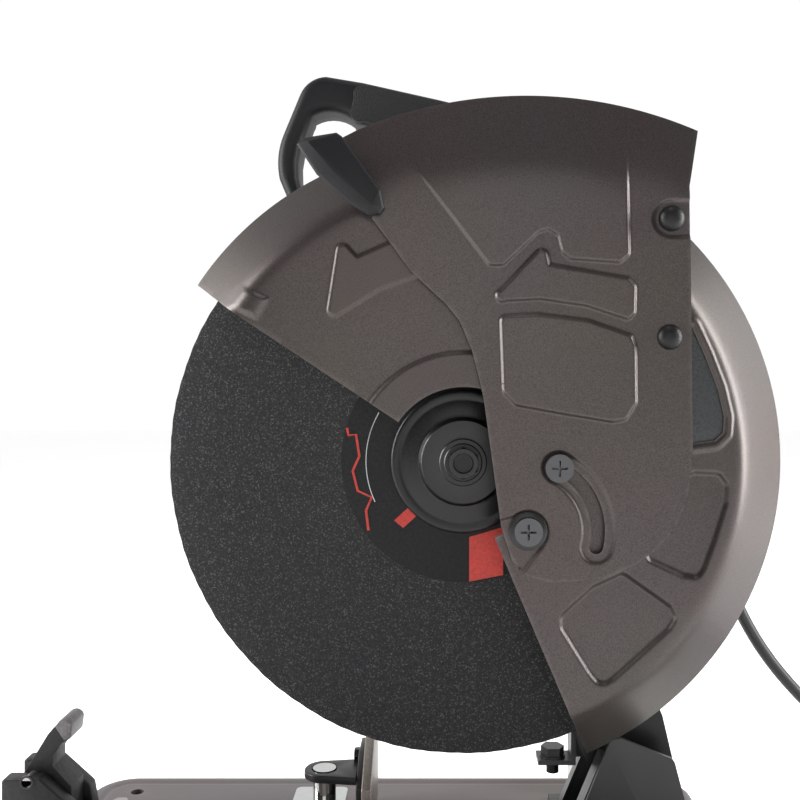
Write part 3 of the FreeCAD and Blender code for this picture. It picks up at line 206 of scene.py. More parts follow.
NODE_LOOKS = {
    STEEL: "arm_pivot_pin armature_bearings armature_shaft base_bolts fence guard_screws handle_screws "
           "lever_pin motor_screws return_spring spindle spindle_bearings spindle_gear trigger_pin "
           "vise_crank vise_screw",
    COPPER: "armature_core commutator field_core",
    PLASTIC: "brush_caps cooling_fan crank_knob switch trigger motor_housing motor_end_cap",
    DARK_STEEL: "brushes inner_flange spindle_lock depth_stop_bolts",
    BASE_PAINT: "base_pan",
    BLACK_PAINT: "rear_bracket depth_stop_tab arm",
    GUARD_PAINT: "guard_back",
    RUBBER: "rubber_feet cord_gland",
    CHROME: "jaw_carrier",
    CAST_BLACK: "gear_case gear_cover",
    WINDOW: "guard_window",
}


def paint_cad_nodes():
    """Finish for the CAD nodes that stay visible."""
    for look, names in NODE_LOOKS.items():
        for name in names.split():
            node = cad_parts[name]
            node.data.materials.clear()
            node.data.materials.append(look)


# ---- mesh helpers -------------------------------------------------------------------
def added(name, data):
    """New object in the scene."""
    made = bpy.data.objects.new(name, data)
    bpy.context.scene.collection.objects.link(made)
    return made


def piece(name, mesh, look, body, replaces=()):
    """Visible piece that rides on a body and may stand for CAD nodes."""
    made = added(name, mesh)
    mesh.materials.append(look)
    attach(made, body)
    if replaces:
        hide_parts(*replaces)
    return made


def mesh_of(name, vertices, faces, smooth=True):
    mesh = bpy.data.meshes.new(name)
    mesh.from_pydata([tuple(v) for v in vertices], [], faces)
    mesh.validate()
    if smooth:
        mesh.shade_smooth()
    return mesh


def apply_modifiers(made):
    """The object keeps the result of its modifiers as its mesh."""
    depsgraph = bpy.context.evaluated_depsgraph_get()
    done = bpy.data.meshes.new_from_object(made.evaluated_get(depsgraph))
    made.modifiers.clear()
    made.data = done


def segment_distance(points, outline):
    """Signed distance from points to a closed outline, negative inside."""
    points = np.asarray(points, float)
    outline = np.asarray(outline, float)
    nearest = np.full(len(points), 1e9)
    inside = np.zeros(len(points), bool)
    for start, end in zip(outline, np.roll(outline, -1, axis=0)):
        along = end - start
        share = np.clip(((points - start) @ along) / max(along @ along, 1e-12), 0, 1)
        gap = np.linalg.norm(points - (start + share[:, None] * along), axis=1)
        nearest = np.minimum(nearest, gap)
        crosses = (start[1] > points[:, 1]) != (end[1] > points[:, 1])
        rise = along[1] if abs(along[1]) > 1e-12 else 1e-12
        edge_x = start[0] + (points[:, 1] - start[1]) / rise * along[0]
        inside ^= crosses & (points[:, 0] < edge_x)
    return np.where(inside, -nearest, nearest)


def step(values, low, high):
    """Smooth rise from 0 at low to 1 at high."""
    share = np.clip((values - low) / (high - low), 0, 1)
    return share * share * (3 - 2 * share)


def panel(points, outline, height, corner=3.0, flank=2.6):
    """Pressed panel: height inside the outline, falling to nothing over the flank."""
    outline = shrink(outline, corner)
    distance = segment_distance(points, outline) - corner
    return height * (1 - step(distance, -flank / 2, flank / 2))


def shrink(outline, amount):
    """Outline moved inwards, so that a distance of that amount rounds its corners."""
    outline = np.asarray(outline, float)
    right, up = outline.T
    area = 0.5 * np.sum(right * np.roll(up, -1) - np.roll(right, -1) * up)
    turn = 1 if area > 0 else -1
    moved = []
    for before, here, after in zip(np.roll(outline, 1, axis=0), outline, np.roll(outline, -1, axis=0)):
        first = (here - before) / np.linalg.norm(here - before)
        second = (after - here) / np.linalg.norm(after - here)
        normal_a = turn * np.array((-first[1], first[0]))
        normal_b = turn * np.array((-second[1], second[0]))
        bisector = normal_a + normal_b
        bisector /= max(np.linalg.norm(bisector), 1e-9)
        reach = amount / max(bisector @ normal_a, 0.5)
        moved.append(here + bisector * reach)
    return np.array(moved)


def capsule(points, start, end, radius):
    """Signed distance from points to a round-ended bar."""
    start = np.asarray(start, float)
    along = np.asarray(end, float) - start
    share = np.clip(((points - start) @ along) / (along @ along), 0, 1)
    return np.linalg.norm(points - (start + share[:, None] * along), axis=1) - radius


def arc_points(centre, radius, start, end, count):
    angles = np.radians(np.linspace(start, end, count))
    return [(centre[0] + radius * math.cos(a), centre[1] + radius * math.sin(a)) for a in angles]


def dense(outline, spacing):
    """The closed outline with points added so that none are further apart than the spacing."""
    filled = []
    for start, end in zip(outline, outline[1:] + outline[:1]):
        start = np.array(start, float)
        end = np.array(end, float)
        count = max(1, int(round(np.linalg.norm(end - start) / spacing)))
        filled += [tuple(start + (end - start) * index / count) for index in range(count)]
    return filled


def bends(points, depth_of, reach):
    """Which points lie where the sheet curves, so that they need close neighbours."""
    here = depth_of(points)
    most = np.zeros(len(points))
    for step_x, step_z in ((1, 0), (0, 1), (0.7, 0.7), (0.7, -0.7)):
        move = np.array((step_x, step_z)) * reach * 1.5
        most = np.maximum(most, np.abs(depth_of(points + move) + depth_of(points - move) - 2 * here))
    return most > 0.025


def filled(loops, inner, tolerance):
    """Triangles that fill the first loop, with the inner points in them, and leave the other loops open."""
    edges = []
    offset = 0
    for loop in loops:
        edges += [(offset + i, offset + (i + 1) % len(loop)) for i in range(len(loop))]
        offset += len(loop)
    flat = [Vector(point) for loop in loops for point in loop] + [Vector(point) for point in inner]
    points, _, faces, _, _, _ = geometry.delaunay_2d_cdt(flat, edges, [], 0, tolerance)
    points = np.array([tuple(p) for p in points])
    centres = np.array([points[list(face)].mean(axis=0) for face in faces])
    good = segment_distance(centres, loops[0]) < 0
    for hole in loops[1:]:
        good &= segment_distance(centres, hole) > 0
    return points, [tuple(face) for face, use in zip(faces, good) if use]


def finished(made, name, sharp):
    """The edited mesh as a named one, with edges over the angle sharp."""
    mesh = bpy.data.meshes.new(name)
    made.to_mesh(mesh)
    made.free()
    sharpen(mesh, sharp)
    return mesh


def skin(made, layers, count):
    """Faces between each ring of points and the next one."""
    for first, second in zip(layers, layers[1:]):
        for index in range(count):
            after = (index + 1) % count
            made.faces.new((first[index], first[after], second[after], second[index]))


def sheet_mesh(name, outline, holes, depth_of, place, facing, spacing, thickness, lip=None):
    """Pressed sheet: a filled outline lifted by depth_of, with an optional lip, and its thickness."""
    loops = [dense(outline, spacing)] + [dense(hole, spacing * 0.7) for hole in holes]
    low = np.min(loops[0], axis=0)
    high = np.max(loops[0], axis=0)
    rows = []
    row_gap = spacing * math.sqrt(3) / 2
    for index, z in enumerate(np.arange(low[1], high[1], row_gap)):
        xs = np.arange(low[0] + (index % 2) * spacing / 2, high[0], spacing)
        rows.append(np.column_stack((xs, np.full(len(xs), z))))
    inner = np.vstack(rows)
    wide = np.arange(len(inner)) % 7 == 0
    inner = inner[wide | bends(inner, depth_of, spacing)]
    keep = segment_distance(inner, loops[0]) < -spacing * 0.6
    for hole in loops[1:]:
        keep &= segment_distance(inner, hole) > spacing * 0.45
    inner = inner[keep]
    points, faces = filled(loops, inner, 1e-5)
    depth = depth_of(points)
    vertices = [place(x, d, z) for (x, z), d in zip(points, depth)]
    mesh = mesh_of(name, vertices, faces)
    made = bmesh.new()
    made.from_mesh(mesh)
    loose = [v for v in made.verts if not v.link_faces]
    bmesh.ops.delete(made, geom=loose, context="VERTS")
    facing = Vector(facing)
    if lip:
        on_rim, lip_depth = lip
        centre = place(0, lip_depth, 0)
        rim = []
        for edge in made.edges:
            if edge.is_boundary:
                ends = [(v.co - centre) / MM for v in edge.verts]
                if all(on_rim(end) for end in ends):
                    rim.append(edge)
        grown = bmesh.ops.extrude_edge_only(made, edges=rim)["geom"]
        for vertex in grown:
            if isinstance(vertex, bmesh.types.BMVert):
                vertex.co += facing * (centre - vertex.co).dot(facing)
    bmesh.ops.recalc_face_normals(made, faces=made.faces)
    if sum(face.normal.dot(facing) * face.calc_area() for face in made.faces) < 0:
        bmesh.ops.reverse_faces(made, faces=made.faces)
    made.to_mesh(mesh)
    made.free()
    mesh.shade_smooth()
    shell = added(name, mesh)
    solid = shell.modifiers.new("thickness", "SOLIDIFY")
    solid.thickness = thickness * MM
    solid.offset = -1
    apply_modifiers(shell)
    done = shell.data
    bpy.data.objects.remove(shell)
    sharpen(done, 38)
    return done


def sharpen(mesh, degrees):
    """Marks edges sharper than the angle, so that flat faces shade flat and round ones round."""
    made = bmesh.new()
    made.from_mesh(mesh)
    limit = math.radians(degrees)
    for edge in made.edges:
        edge.smooth = len(edge.link_faces) == 2 and edge.calc_face_angle(0) < limit
    for face in made.faces:
        face.smooth = True
    made.to_mesh(mesh)
    made.free()


def lathe(name, profile, origin, axis="Y", steps=96, sharp=40):
    """Solid of revolution; profile is (radius, offset) in millimetres, closed on the axis or in a ring."""
    directions = {"X": Matrix.Rotation(math.pi / 2, 4, "Y"), "Y": Matrix.Rotation(-math.pi / 2, 4, "X"),
                  "Z": Matrix.Identity(4)}
    made = bmesh.new()
    rings = []
    for radius, offset in profile:
        if radius < 1e-6:
            rings.append([made.verts.new((0, 0, offset * MM))])
            continue
        ring = []
        for index in range(steps):
            angle = 2 * math.pi * index / steps
            ring.append(made.verts.new((radius * MM * math.cos(angle), radius * MM * math.sin(angle),
                                        offset * MM)))
        rings.append(ring)
    pairs = list(zip(rings, rings[1:]))
    if profile[0][0] > 1e-6 and profile[-1][0] > 1e-6:
        pairs.append((rings[-1], rings[0]))
    for first, second in pairs:
        for index in range(steps):
            after = (index + 1) % steps
            corners = [first[index % len(first)], first[after % len(first)],
                       second[after % len(second)], second[index % len(second)]]
            corners = list(dict.fromkeys(corners))
            if len(corners) > 2:
                made.faces.new(corners)
    bmesh.ops.recalc_face_normals(made, faces=made.faces)
    made.transform(Matrix.Translation(origin) @ directions[axis])
    return finished(made, name, sharp)


def curved(points, count=8):
    """Outline in which a point with four numbers ends an arc through its last two."""
    made = []
    for before, point in zip(points[-1:] + points[:-1], points):
        if len(point) == 4:
            a, b, c = (np.array(p, float) for p in (before[:2], point[2:], point[:2]))
            matrix = 2 * np.array([b - a, c - a])
            centre = np.linalg.solve(matrix, [b @ b - a @ a, c @ c - a @ a])
            angles = [math.atan2(*(p - centre)[::-1]) for p in (a, b, c)]
            sweep = (angles[2] - angles[0]) % (2 * math.pi)
            if (angles[1] - angles[0]) % (2 * math.pi) > sweep:
                sweep -= 2 * math.pi
            radius = np.linalg.norm(a - centre)
            for index in range(1, count):
                angle = angles[0] + sweep * index / count
                made.append((centre[0] + radius * math.cos(angle), centre[1] + radius * math.sin(angle)))
        made.append(tuple(point[:2]))
    return made


def block(name, outline, depth0, depth1, bevel=0.8, holes=(), place=None, segments=3, full=None):
    """Bevelled plate from an outline in the XZ plane (from the hub) between two depths.

    With full set, only the rim at that depth gets the bevel and the other rims get none.
    """
    place = place or at
    loops = [list(outline)] + [list(hole) for hole in holes]
    points, faces = filled(loops, [], 1e-6)
    made = bmesh.new()
    verts = [made.verts.new(place(x, depth0, z)) for x, z in points]
    for face in faces:
        made.faces.new([verts[i] for i in face])
    bmesh.ops.dissolve_limit(made, angle_limit=0.01, verts=made.verts, edges=made.edges)
    far = place(0, depth1, 0) - place(0, depth0, 0)
    grown = bmesh.ops.extrude_face_region(made, geom=list(made.faces))["geom"]
    for vertex in grown:
        if isinstance(vertex, bmesh.types.BMVert):
            vertex.co += far
    bmesh.ops.recalc_face_normals(made, faces=made.faces)
    if bevel:
        rims = [edge for edge in made.edges if len(edge.link_faces) == 2 and edge.calc_face_angle(0) > 0.6]
        if full is not None:
            level = place(0, full, 0)
            unit = far.normalized()
            rims = [edge for edge in rims
                    if all(abs((vertex.co - level).dot(unit)) < 1e-5 for vertex in edge.verts)]
        bmesh.ops.bevel(made, geom=rims, offset=bevel * MM, segments=segments, profile=0.5, affect="EDGES",
                        clamp_overlap=True)
    return finished(made, name, 35)


def join_meshes(name, meshes):
    made = bmesh.new()
    for mesh in meshes:
        made.from_mesh(mesh)
    whole = bpy.data.meshes.new(name)
    made.to_mesh(whole)
    made.free()
    return whole


# ---- guards -------------------------------------------------------------------------
FACE = 32.0
GUARD_RIM = 193.0
GUARD_CREASE = 160.0
COVER_FACE = 38.0
COVER_RIM = 250.0
COVER_CREASE = 214.0
SHEET = 1.6
EMBOSS = 2.2
COVER_DROP = 9.0
SLOT_RADIUS = 40.0
SLOT_LOW = -13.5
SLOT_HIGH = 64.0
BUMPERS = ((81.8, 177.7), (80.6, 110.2))
STOP = (PIVOT[0] + SLOT_RADIUS * math.cos(math.radians(SLOT_HIGH)),
        PIVOT[1] + SLOT_RADIUS * math.sin(math.radians(SLOT_HIGH)))

COVER_PANELS = [
    [(-63, 205), (-22, 151), (-14, 151), (6, 170), (11.5, 171.5), (17, 168), (19.5, 158), (24, 154.5),
     (52, 152.5), (57.5, 157), (56, 232), (-72, 232)],
    [(-19, 133), (6.5, 160), (10.5, 159), (12, 151.3), (56.7, 143.6), (61, 139), (60.6, 123.8), (57, 120),
     (33, 128), (7, 131.8), (-16.3, 130.6)],
    [(-15.8, 122), (5, 123.2), (34, 119.6), (58.6, 111), (61, 105), (61.4, 73), (55.5, 63.5), (48, 62),
     (19, 66.8), (-7, 71.6), (-14.2, 79)],
]


def folded(flat, cone, soft):
    """The deeper of the flat face and the cone, rounded where they meet."""
    return np.maximum(flat, cone) + soft * np.log1p(np.exp(-np.abs(flat - cone) / soft))


def cover_depth(points):
    """Depth of the lower guard's sheet behind the wheel plane, at points from its pivot."""
    radius = np.linalg.norm(points, axis=1)
    cone = -COVER_FACE + (radius - COVER_CREASE) / (COVER_RIM - COVER_CREASE) * COVER_DROP
    raised = np.zeros(len(points))
    for outline in COVER_PANELS:
        raised = np.maximum(raised, panel(points, outline, EMBOSS))
    angles = np.degrees(np.arctan2(points[:, 1], points[:, 0]))
    near_arc = np.abs(radius - SLOT_RADIUS)
    past = (angles < SLOT_LOW) | (angles > SLOT_HIGH)
    ends = [np.linalg.norm(points - np.array(p), axis=1) for p in
            ((38.9, -9.3), (17.5, 36.0))]
    band = np.where(past, np.minimum(*ends), near_arc) - 9.0
    hub = np.minimum(radius - 11.5,
                     segment_distance(points, [(9, -8), (-5, -26), (-40, -30), (-40, 0), (-9, 8)]))
    notch = capsule(points, BUMPERS[0], (112, BUMPERS[0][1]), 10.5)
    sunk = np.zeros(len(points))
    for shape in (band, hub, notch):
        sunk = np.maximum(sunk, 1.4 * (1 - step(shape, -1.3, 1.3)))
    flat = -COVER_FACE - raised + sunk
    return folded(flat, cone, 1.2)


def cover_outline():
    """Edge of the lower guard, from its pivot."""
    left = [(-118, 238), (-106.6, 225.6), (-88.5, 177.6), (-66, 147), (-47, 129.5), (-38.5, 119),
            (-32, 103),
            (-28, 88), (-25, 74.3), (-15.2, 2.4), (-9, -17), (-1, -25), (12, -29), (42, -27.5), (61, -19)]
    right = [(72, -11), (83, 1), (89, 14), (92, 28), (93.5, 45), (92, 196.2), (98.8, 229.4)]
    rim = arc_points((0, 0), COVER_RIM, 66.7, 113.2, 40)
    start = [point for point in left if math.hypot(*point) < COVER_RIM]
    return right + rim + start


def slot_hole(radius, half, low, high):
    """Curved slot round the pivot, with round ends."""
    outer = arc_points((0, 0), radius + half, low, high, 14)
    top = (radius * math.cos(math.radians(high)), radius * math.sin(math.radians(high)))
    bottom = (radius * math.cos(math.radians(low)), radius * math.sin(math.radians(low)))
    inner = arc_points((0, 0), radius - half, high, low, 12)
    return (outer + arc_points(top, half, high, high + 180, 8)[1:-1] + inner
            + arc_points(bottom, half, low + 180, low + 360, 8)[1:-1])


def circle(centre, radius, count=28):
    return arc_points(centre, radius, 0, 360 * (count - 1) / count, count)


def movable_guard():
    holes = [slot_hole(SLOT_RADIUS, 4.0, SLOT_LOW, SLOT_HIGH), circle((0, 0), 4.1)]
    holes += [circle(centre, 2.6) for centre in BUMPERS]

    def place(x, depth, z):
        return Vector((COVER_X + x * MM, WHEEL_Y + depth * MM, COVER_Z + z * MM))

    def on_rim(spot):
        return abs(math.hypot(spot.x, spot.z) - COVER_RIM) < 1.0

    mesh = sheet_mesh("cover_sheet", cover_outline(), holes, cover_depth, place, (0, -1, 0), 0.85, SHEET,
                      lip=(on_rim, 6.0))
    piece("cover_sheet", mesh, GUARD_PAINT, "lower_guard", ["movable_guard"])


GUARD_DENTS = [
    [(131, -4), (147, -5), (151.5, -11), (151, -22), (144, -44), (138, -60), (134.5, -65), (126, -63.5),
     (104, -53.5)],
    [(91.5, -62), (119, -81.5), (121.8, -88), (118, -94.5), (85.6, -123.5), (81, -126), (76.5, -125),
     (72, -119.5), (56, -94), (56, -86.5), (74, -70)],
]
GUARD_ARROW = [(-78.6, 87.5), (-74, 85.2), (-48, 101), (-20, 111), (6, 113), (6, 137), (-20, 134),
               (-41.8, 128.2), (-61.3, 119.6), (-67.7, 126.5), (-72.5, 126.5)]
WINDOW_HOLE = [(112, 12), (132, 12.7), (144, 14.4), (148.6, 18.8), (149.3, 27.6), (145.6, 43.7),
               (138.3, 62.7), (131, 79), (108, 58)]


def guard_depth(points):
    """Depth of the fixed guard's sheet behind the wheel plane, at points from the hub."""
    radius = np.linalg.norm(points, axis=1)
    cone = -FACE + (radius - GUARD_CREASE) / (GUARD_RIM - GUARD_CREASE) * FACE
    sunk = np.zeros(len(points))
    for outline in GUARD_DENTS:
        sunk = np.maximum(sunk, panel(points, outline, 2.4, corner=4.0, flank=3.4))
    raised = panel(points, GUARD_ARROW, 1.5)
    bead = np.abs(segment_distance(points, WINDOW_HOLE) - 3.5)
    raised = np.maximum(raised, 1.2 * (1 - step(bead, 0.5, 3.0)))
    angles = np.degrees(np.arctan2(points[:, 1], points[:, 0]))
    arch = (1 - step(radius, 63.0, 66.5)) * (angles > 30) * (angles < 180)
    raised = np.maximum(raised, 1.6 * arch)
    stamp = segment_distance(points, [(-137, 92), (-128, 103), (-112, 96), (-119, 84)])
    raised = np.maximum(raised, 2.2 * (1 - step(stamp, -3.0, 1.5)))
    flat = -FACE - raised + sunk
    return folded(flat, cone, 2.2)


def fixed_guard():
    inner = arc_points((0, 0), 45.0, 146.5, -67.0, 60)
    outer = arc_points((0, 0), GUARD_RIM, -67.0, 146.5, 150)
    outline = outer + inner
    holes = [WINDOW_HOLE, circle(PIVOT, 4.0), circle(STOP, 3.5)]

    def on_rim(spot):
        return abs(math.hypot(spot.x, spot.z) - GUARD_RIM) < 0.8

    mesh = sheet_mesh("guard_sheet", outline, holes, guard_depth, at, (0, -1, 0), 0.9, SHEET,
                      lip=(on_rim, 15.0))
    piece("guard_sheet", mesh, GUARD_PAINT, "head", ["fixed_guard"])


# ---- screws and bolts ---------------------------------------------------------------
def cross_screw(name, x, z, radius, depth_top, height, body, turn):
    """Pan head with a pressed cross recess, seen from the front."""
    steps = 72
    rings = [0.0, 0.12, 0.24, 0.36, 0.48, 0.6, 0.72, 0.84, 0.93, 0.98, 1.0]
    made = bmesh.new()
    layers = []
    angle0 = math.radians(turn)
    for share in rings:
        layer = []
        for index in range(steps):
            angle = 2 * math.pi * index / steps
            u = share * radius * math.cos(angle)
            v = share * radius * math.sin(angle)
            arm = min(max(abs(u) - radius * 0.55, abs(v) - radius * 0.13),
                      max(abs(v) - radius * 0.55, abs(u) - radius * 0.13))
            sunk = 1 - max(0.0, min(1.0, (arm + 0.25) / 0.5))
            dome = height * (1 - 0.55 * share ** 2.4) if share < 1 else 0.0
            away = dome - sunk * height * 0.75
            px = u * math.cos(angle0) - v * math.sin(angle0)
            pz = u * math.sin(angle0) + v * math.cos(angle0)
            layer.append(made.verts.new(at(x + px, depth_top - away, z + pz)))
        layers.append(layer)
    skin(made, layers, steps)
    made.faces.new(layers[-1][::-1])
    bmesh.ops.remove_doubles(made, verts=made.verts, dist=1e-6)
    bmesh.ops.recalc_face_normals(made, faces=made.faces)
    piece(name, finished(made, name, 42), DARK_STEEL, body)


def hex_head(name, place, across, height, axis, body, dish=0.7):
    """Hexagon head with a chamfered crown and a shallow dish, pointing along the given direction."""
    made = bmesh.new()
    corner = across / 2 / math.cos(math.pi / 6)
    count = 72
    layers = []
    for share, top in ((1.0, 0.0), (1.0, 0.8), (0.93, 1.0), (0.72, 1.0), (0.66, 1.0 - 0.12 * dish),
                       (0.0, 1.0 - 0.12 * dish)):
        layer = []
        for index in range(count):
            angle = 2 * math.pi * index / count
            sector = (angle + math.pi / 6) % (math.pi / 3) - math.pi / 6
            flat = across / 2 / math.cos(sector)
            radius = min(flat, corner) if share >= 1 else min(flat, across / 2 * 1.02) * share / 0.93
            if share < 0.9:
                radius = across / 2 * share
            drop = 0.0
            if share >= 1 and top > 0.5:
                drop = (flat - across / 2) * 0.5
            layer.append(made.verts.new((radius * MM * math.cos(angle), radius * MM * math.sin(angle),
                                         (top * height - drop) * MM)))
        layers.append(layer)
    skin(made, layers, count)
    made.faces.new(layers[0][::-1])
    bmesh.ops.remove_doubles(made, verts=made.verts, dist=1e-6)
    bmesh.ops.recalc_face_normals(made, faces=made.faces)
    turn = Vector((0, 0, 1)).rotation_difference(Vector(axis)).to_matrix().to_4x4()
    made.transform(Matrix.Translation(place) @ turn)
    piece(name, finished(made, name, 30), DARK_STEEL, body)


def front_screws():
    washer = lathe("pivot_washer", [(8.0, 0), (11.0, 0), (11.0, -0.9), (10.4, -1.3), (4.0, -1.3), (4.0, 0)],
                   at(PIVOT[0], -COVER_FACE + 1.1, PIVOT[1]))
    piece("pivot_washer", washer, DARK_STEEL, "head")
    for name, (x, z), turn in (("pivot_screw", PIVOT, 42.0), ("stop_screw", STOP, 15.0)):
        cross_screw(name, x, z, 8.2, -COVER_FACE - 0.2, 4.6, "head", turn)


# ---- wheel --------------------------------------------------------------------------
def wheel_edge(angle):
    """Radius of the wheel's worn edge, in millimetres."""
    return WHEEL_RADIUS / MM - 0.25 * (1 + math.sin(angle * 37) * math.sin(angle * 61 + 1.3))


# Marks a ring of the wheel's section that follows wheel_edge.
RIM = 1.0


def wheel():
    made = bmesh.new()
    rings = ((12.7, -1.6), (74.0, -1.6), (120.0, -1.55), (150.0, -1.62), (174.5, -1.6), (RIM, -1.1),
             (RIM, 1.1), (174.5, 1.6), (120.0, 1.6), (12.7, 1.6))
    steps = 480
    layers = []
    for radius, depth in rings:
        layer = []
        for index in range(steps):
            angle = 2 * math.pi * index / steps
            reach = wheel_edge(angle) if radius == RIM else radius
            layer.append(made.verts.new(at(reach * math.cos(angle), depth, reach * math.sin(angle))))
        layers.append(layer)
    skin(made, layers + layers[:1], steps)
    bmesh.ops.recalc_face_normals(made, faces=made.faces)
    piece("wheel_disc", finished(made, "wheel_disc", 35), ABRASIVE, "wheel_spindle",
          ["abrasive_wheel"])


def ribbon(name, points, width, depth, look):
    """Printed line on the paper label: a flat strip a little in front of it."""
    vertices = []
    faces = []
    points = [Vector(p) for p in points]
    for index, point in enumerate(points):
        before = points[max(index - 1, 0)]
        after = points[min(index + 1, len(points) - 1)]
        along = (after - before).normalized()
        side = Vector((-along.y, along.x)) * width / 2
        for sign in (1, -1):
            vertices.append(at(*(point + side * sign)[:1], depth, *(point + side * sign)[1:]))
        if index:
            faces.append((2 * index - 2, 2 * index - 1, 2 * index + 1, 2 * index))
    piece(name, mesh_of(name, vertices, faces), look, "wheel_spindle")


def paper_label():
    profile = [(12.7, -1.6), (12.7, -2.0), (73.0, -2.0), (73.5, -1.9), (73.5, -1.6)]
    piece("label_paper", lathe("label_paper", profile, at(0, 0, 0), steps=160), LABEL_BLACK,
          "wheel_spindle", ["wheel_label"])
    jagged = [(-70.0, 20.0), (-69.0, 15.5), (-64.5, 16.0), (-62.5, 3.0), (-66.5, -6.0), (-63.5, -18.0),
              (-55.0, -22.0), (-58.5, -30.0), (-57.0, -42.0)]
    ribbon("label_outline", jagged, 1.5, -2.25, LABEL_RED)
    red = [(4.0, -73.0), (24.5, -69.0), (24.5, -40.0), (4.0, -46.0)]
    piece("label_block", block("label_block", red, -2.3, -2.0, bevel=0), LABEL_RED, "wheel_spindle")
    bar = [(-41.5, -36.0), (-36.0, -40.5), (-22.0, -28.0), (-27.0, -23.0)]
    piece("label_bar", block("label_bar", bar, -2.3, -2.0, bevel=0), LABEL_RED, "wheel_spindle")
    left = arc_points((0, 0), 58.5, 150, 205, 20)
    ribbon("label_ring", left, 0.5, -2.25, CHROME)


def wheel_flange():
    profile = [(12.7, -2.1), (43.0, -2.1), (43.4, -2.6), (43.4, -4.9), (42.7, -5.9), (41.6, -6.3),
               (38.6, -6.3),
               (37.8, -5.9), (36.6, -5.9), (35.8, -6.3), (28.6, -6.6), (26.8, -7.2), (25.6, -10.3),
               (24.6, -11.2), (12.7, -11.2)]
    piece("clamp_flange", lathe("clamp_flange", profile, at(0, 0, 0), steps=128), DARK_STEEL,
          "wheel_spindle", ["outer_flange"])
    washer = [(5.2, -11.2), (13.8, -11.2), (14.2, -11.6), (14.2, -13.0), (13.6, -13.6), (5.2, -13.6)]
    piece("bolt_washer", lathe("bolt_washer", washer, at(0, 0, 0)), DARK_STEEL, "wheel_spindle",
          ["flange_washer"])
    collar = [(0.0, -13.6), (11.4, -13.6), (11.4, -14.4), (10.8, -15.0), (0.0, -15.0)]
    shank = [(0.0, 18.0), (5.0, 18.0), (5.0, -14.0), (0.0, -14.0)]
    base = join_meshes("bolt_body", [lathe("collar", collar, at(0, 0, 0)),
                                     lathe("shank", shank, at(0, 0, 0))])
    piece("bolt_body", base, DARK_STEEL, "wheel_spindle", ["wheel_bolt"])
    hex_head("bolt_head", at(0, -14.8, 0), 16.6, 6.6, (0, -1, 0), "wheel_spindle", dish=3.2)


# ---- cord ---------------------------------------------------------------------------
CORD_DIAMETER = 9.0
# Right of the hub, behind the wheel plane, above the bench, in millimetres, as the solid's route.
CORD_ROUTE = [(98.8, 137, 326), (122, 137, 324), (151, 137, 303), (177, 137, 260), (198, 137, 204),
              (222, 137, 152), (258, 138, 108), (300, 140, 72), (333, 142, 46), (362, 137, 24),
              (385, 119, 10), (395, 92, 4.7), (396, 66, 4.7)]
COIL_CENTRE = (342.0, 31.0)
COIL_OUTER = 54.0
COIL_PITCH = 9.3
COIL_TURNS = 4.25
TAIL = [(330, -23, 23.2), (319, -23, 21.6), (309, -23, 19.4), (300, -23, 18.5), (292, -23, 18.5)]


def over_floor(x, depth, z):
    """Point right of the hub, behind the wheel plane and above the bench, in millimetres."""
    return Vector((HUB_X + x * MM, WHEEL_Y + depth * MM, z * MM))


def ease(turned, start, end):
    """Smooth share of the way from start to end, in degrees turned."""
    share = min(max((turned - start) / (end - start), 0.0), 1.0)
    return share * share * (3 - 2 * share)


def coil_points():
    """Two turns side by side, three high, with each step before the turn that it meets."""
    points = []
    per_turn = 24
    for index in range(1, int(COIL_TURNS * per_turn) + 1):
        turned = index * 360 / per_turn
        radius = COIL_OUTER - COIL_PITCH * (ease(turned, 280, 350) - ease(turned, 910, 990))
        radius += 0.4 * math.sin(turned * 0.021)
        height = CORD_DIAMETER / 2 + 0.2 + COIL_PITCH * (ease(turned, 570, 635) + ease(turned, 1200, 1265))
        angle = -math.radians(turned)
        points.append((COIL_CENTRE[0] + radius * math.cos(angle), COIL_CENTRE[1] + radius * math.sin(angle),
                       height))
    return points


def cord_curve(name, points, bevel):
    """Mesh of a smooth spline with those points as its control points."""
    line = bpy.data.curves.new(name, "CURVE")
    line.dimensions = "3D"
    line.bevel_depth = bevel
    line.bevel_resolution = 5
    line.use_fill_caps = True
    spline = line.splines.new("NURBS")
    spline.points.add(len(points) - 1)
    for target, place in zip(spline.points, points):
        target.co = (*place, 1)
    spline.order_u = 3
    spline.use_endpoint_u = True
    spline.resolution_u = 8
    made = added(name, line)
    mesh = bpy.data.meshes.new_from_object(made.evaluated_get(bpy.context.evaluated_depsgraph_get()))
    bpy.data.objects.remove(made)
    return mesh


def cord_tie():
    """Hook-and-loop strap round the bundle of turns."""
    middle = math.radians(150)
    inner = COIL_OUTER - COIL_PITCH - CORD_DIAMETER / 2 - 1.0
    outer = COIL_OUTER + CORD_DIAMETER / 2 + 1.0
    top = 19.5
    loop = []
    corner = 4.0
    for cx, cz, start in ((outer - corner, top - corner, 0), (inner + corner, top - corner, 90),
                          (inner + corner, 0.4 + corner, 180), (outer - corner, 0.4 + corner, 270)):
        loop += arc_points((cx, cz), corner, start, start + 90, 6)
    vertices = []
    faces = []
    across = Vector((-math.sin(middle), math.cos(middle), 0)) * 7 * MM
    for radius, height in loop:
        spot = over_floor(COIL_CENTRE[0] + radius * math.cos(middle),
                          COIL_CENTRE[1] + radius * math.sin(middle), height)
        vertices += [spot - across, spot + across]
    count = len(loop)
    for index in range(count):
        after = (index + 1) % count
        faces.append((2 * index, 2 * after, 2 * after + 1, 2 * index + 1))
    mesh = mesh_of("cord_tie", vertices, faces)
    made = piece("cord_tie", mesh, RUBBER, "root")
    solid = made.modifiers.new("thickness", "SOLIDIFY")
    solid.thickness = 1.2 * MM
    solid.offset = 1
    apply_modifiers(made)
    return made


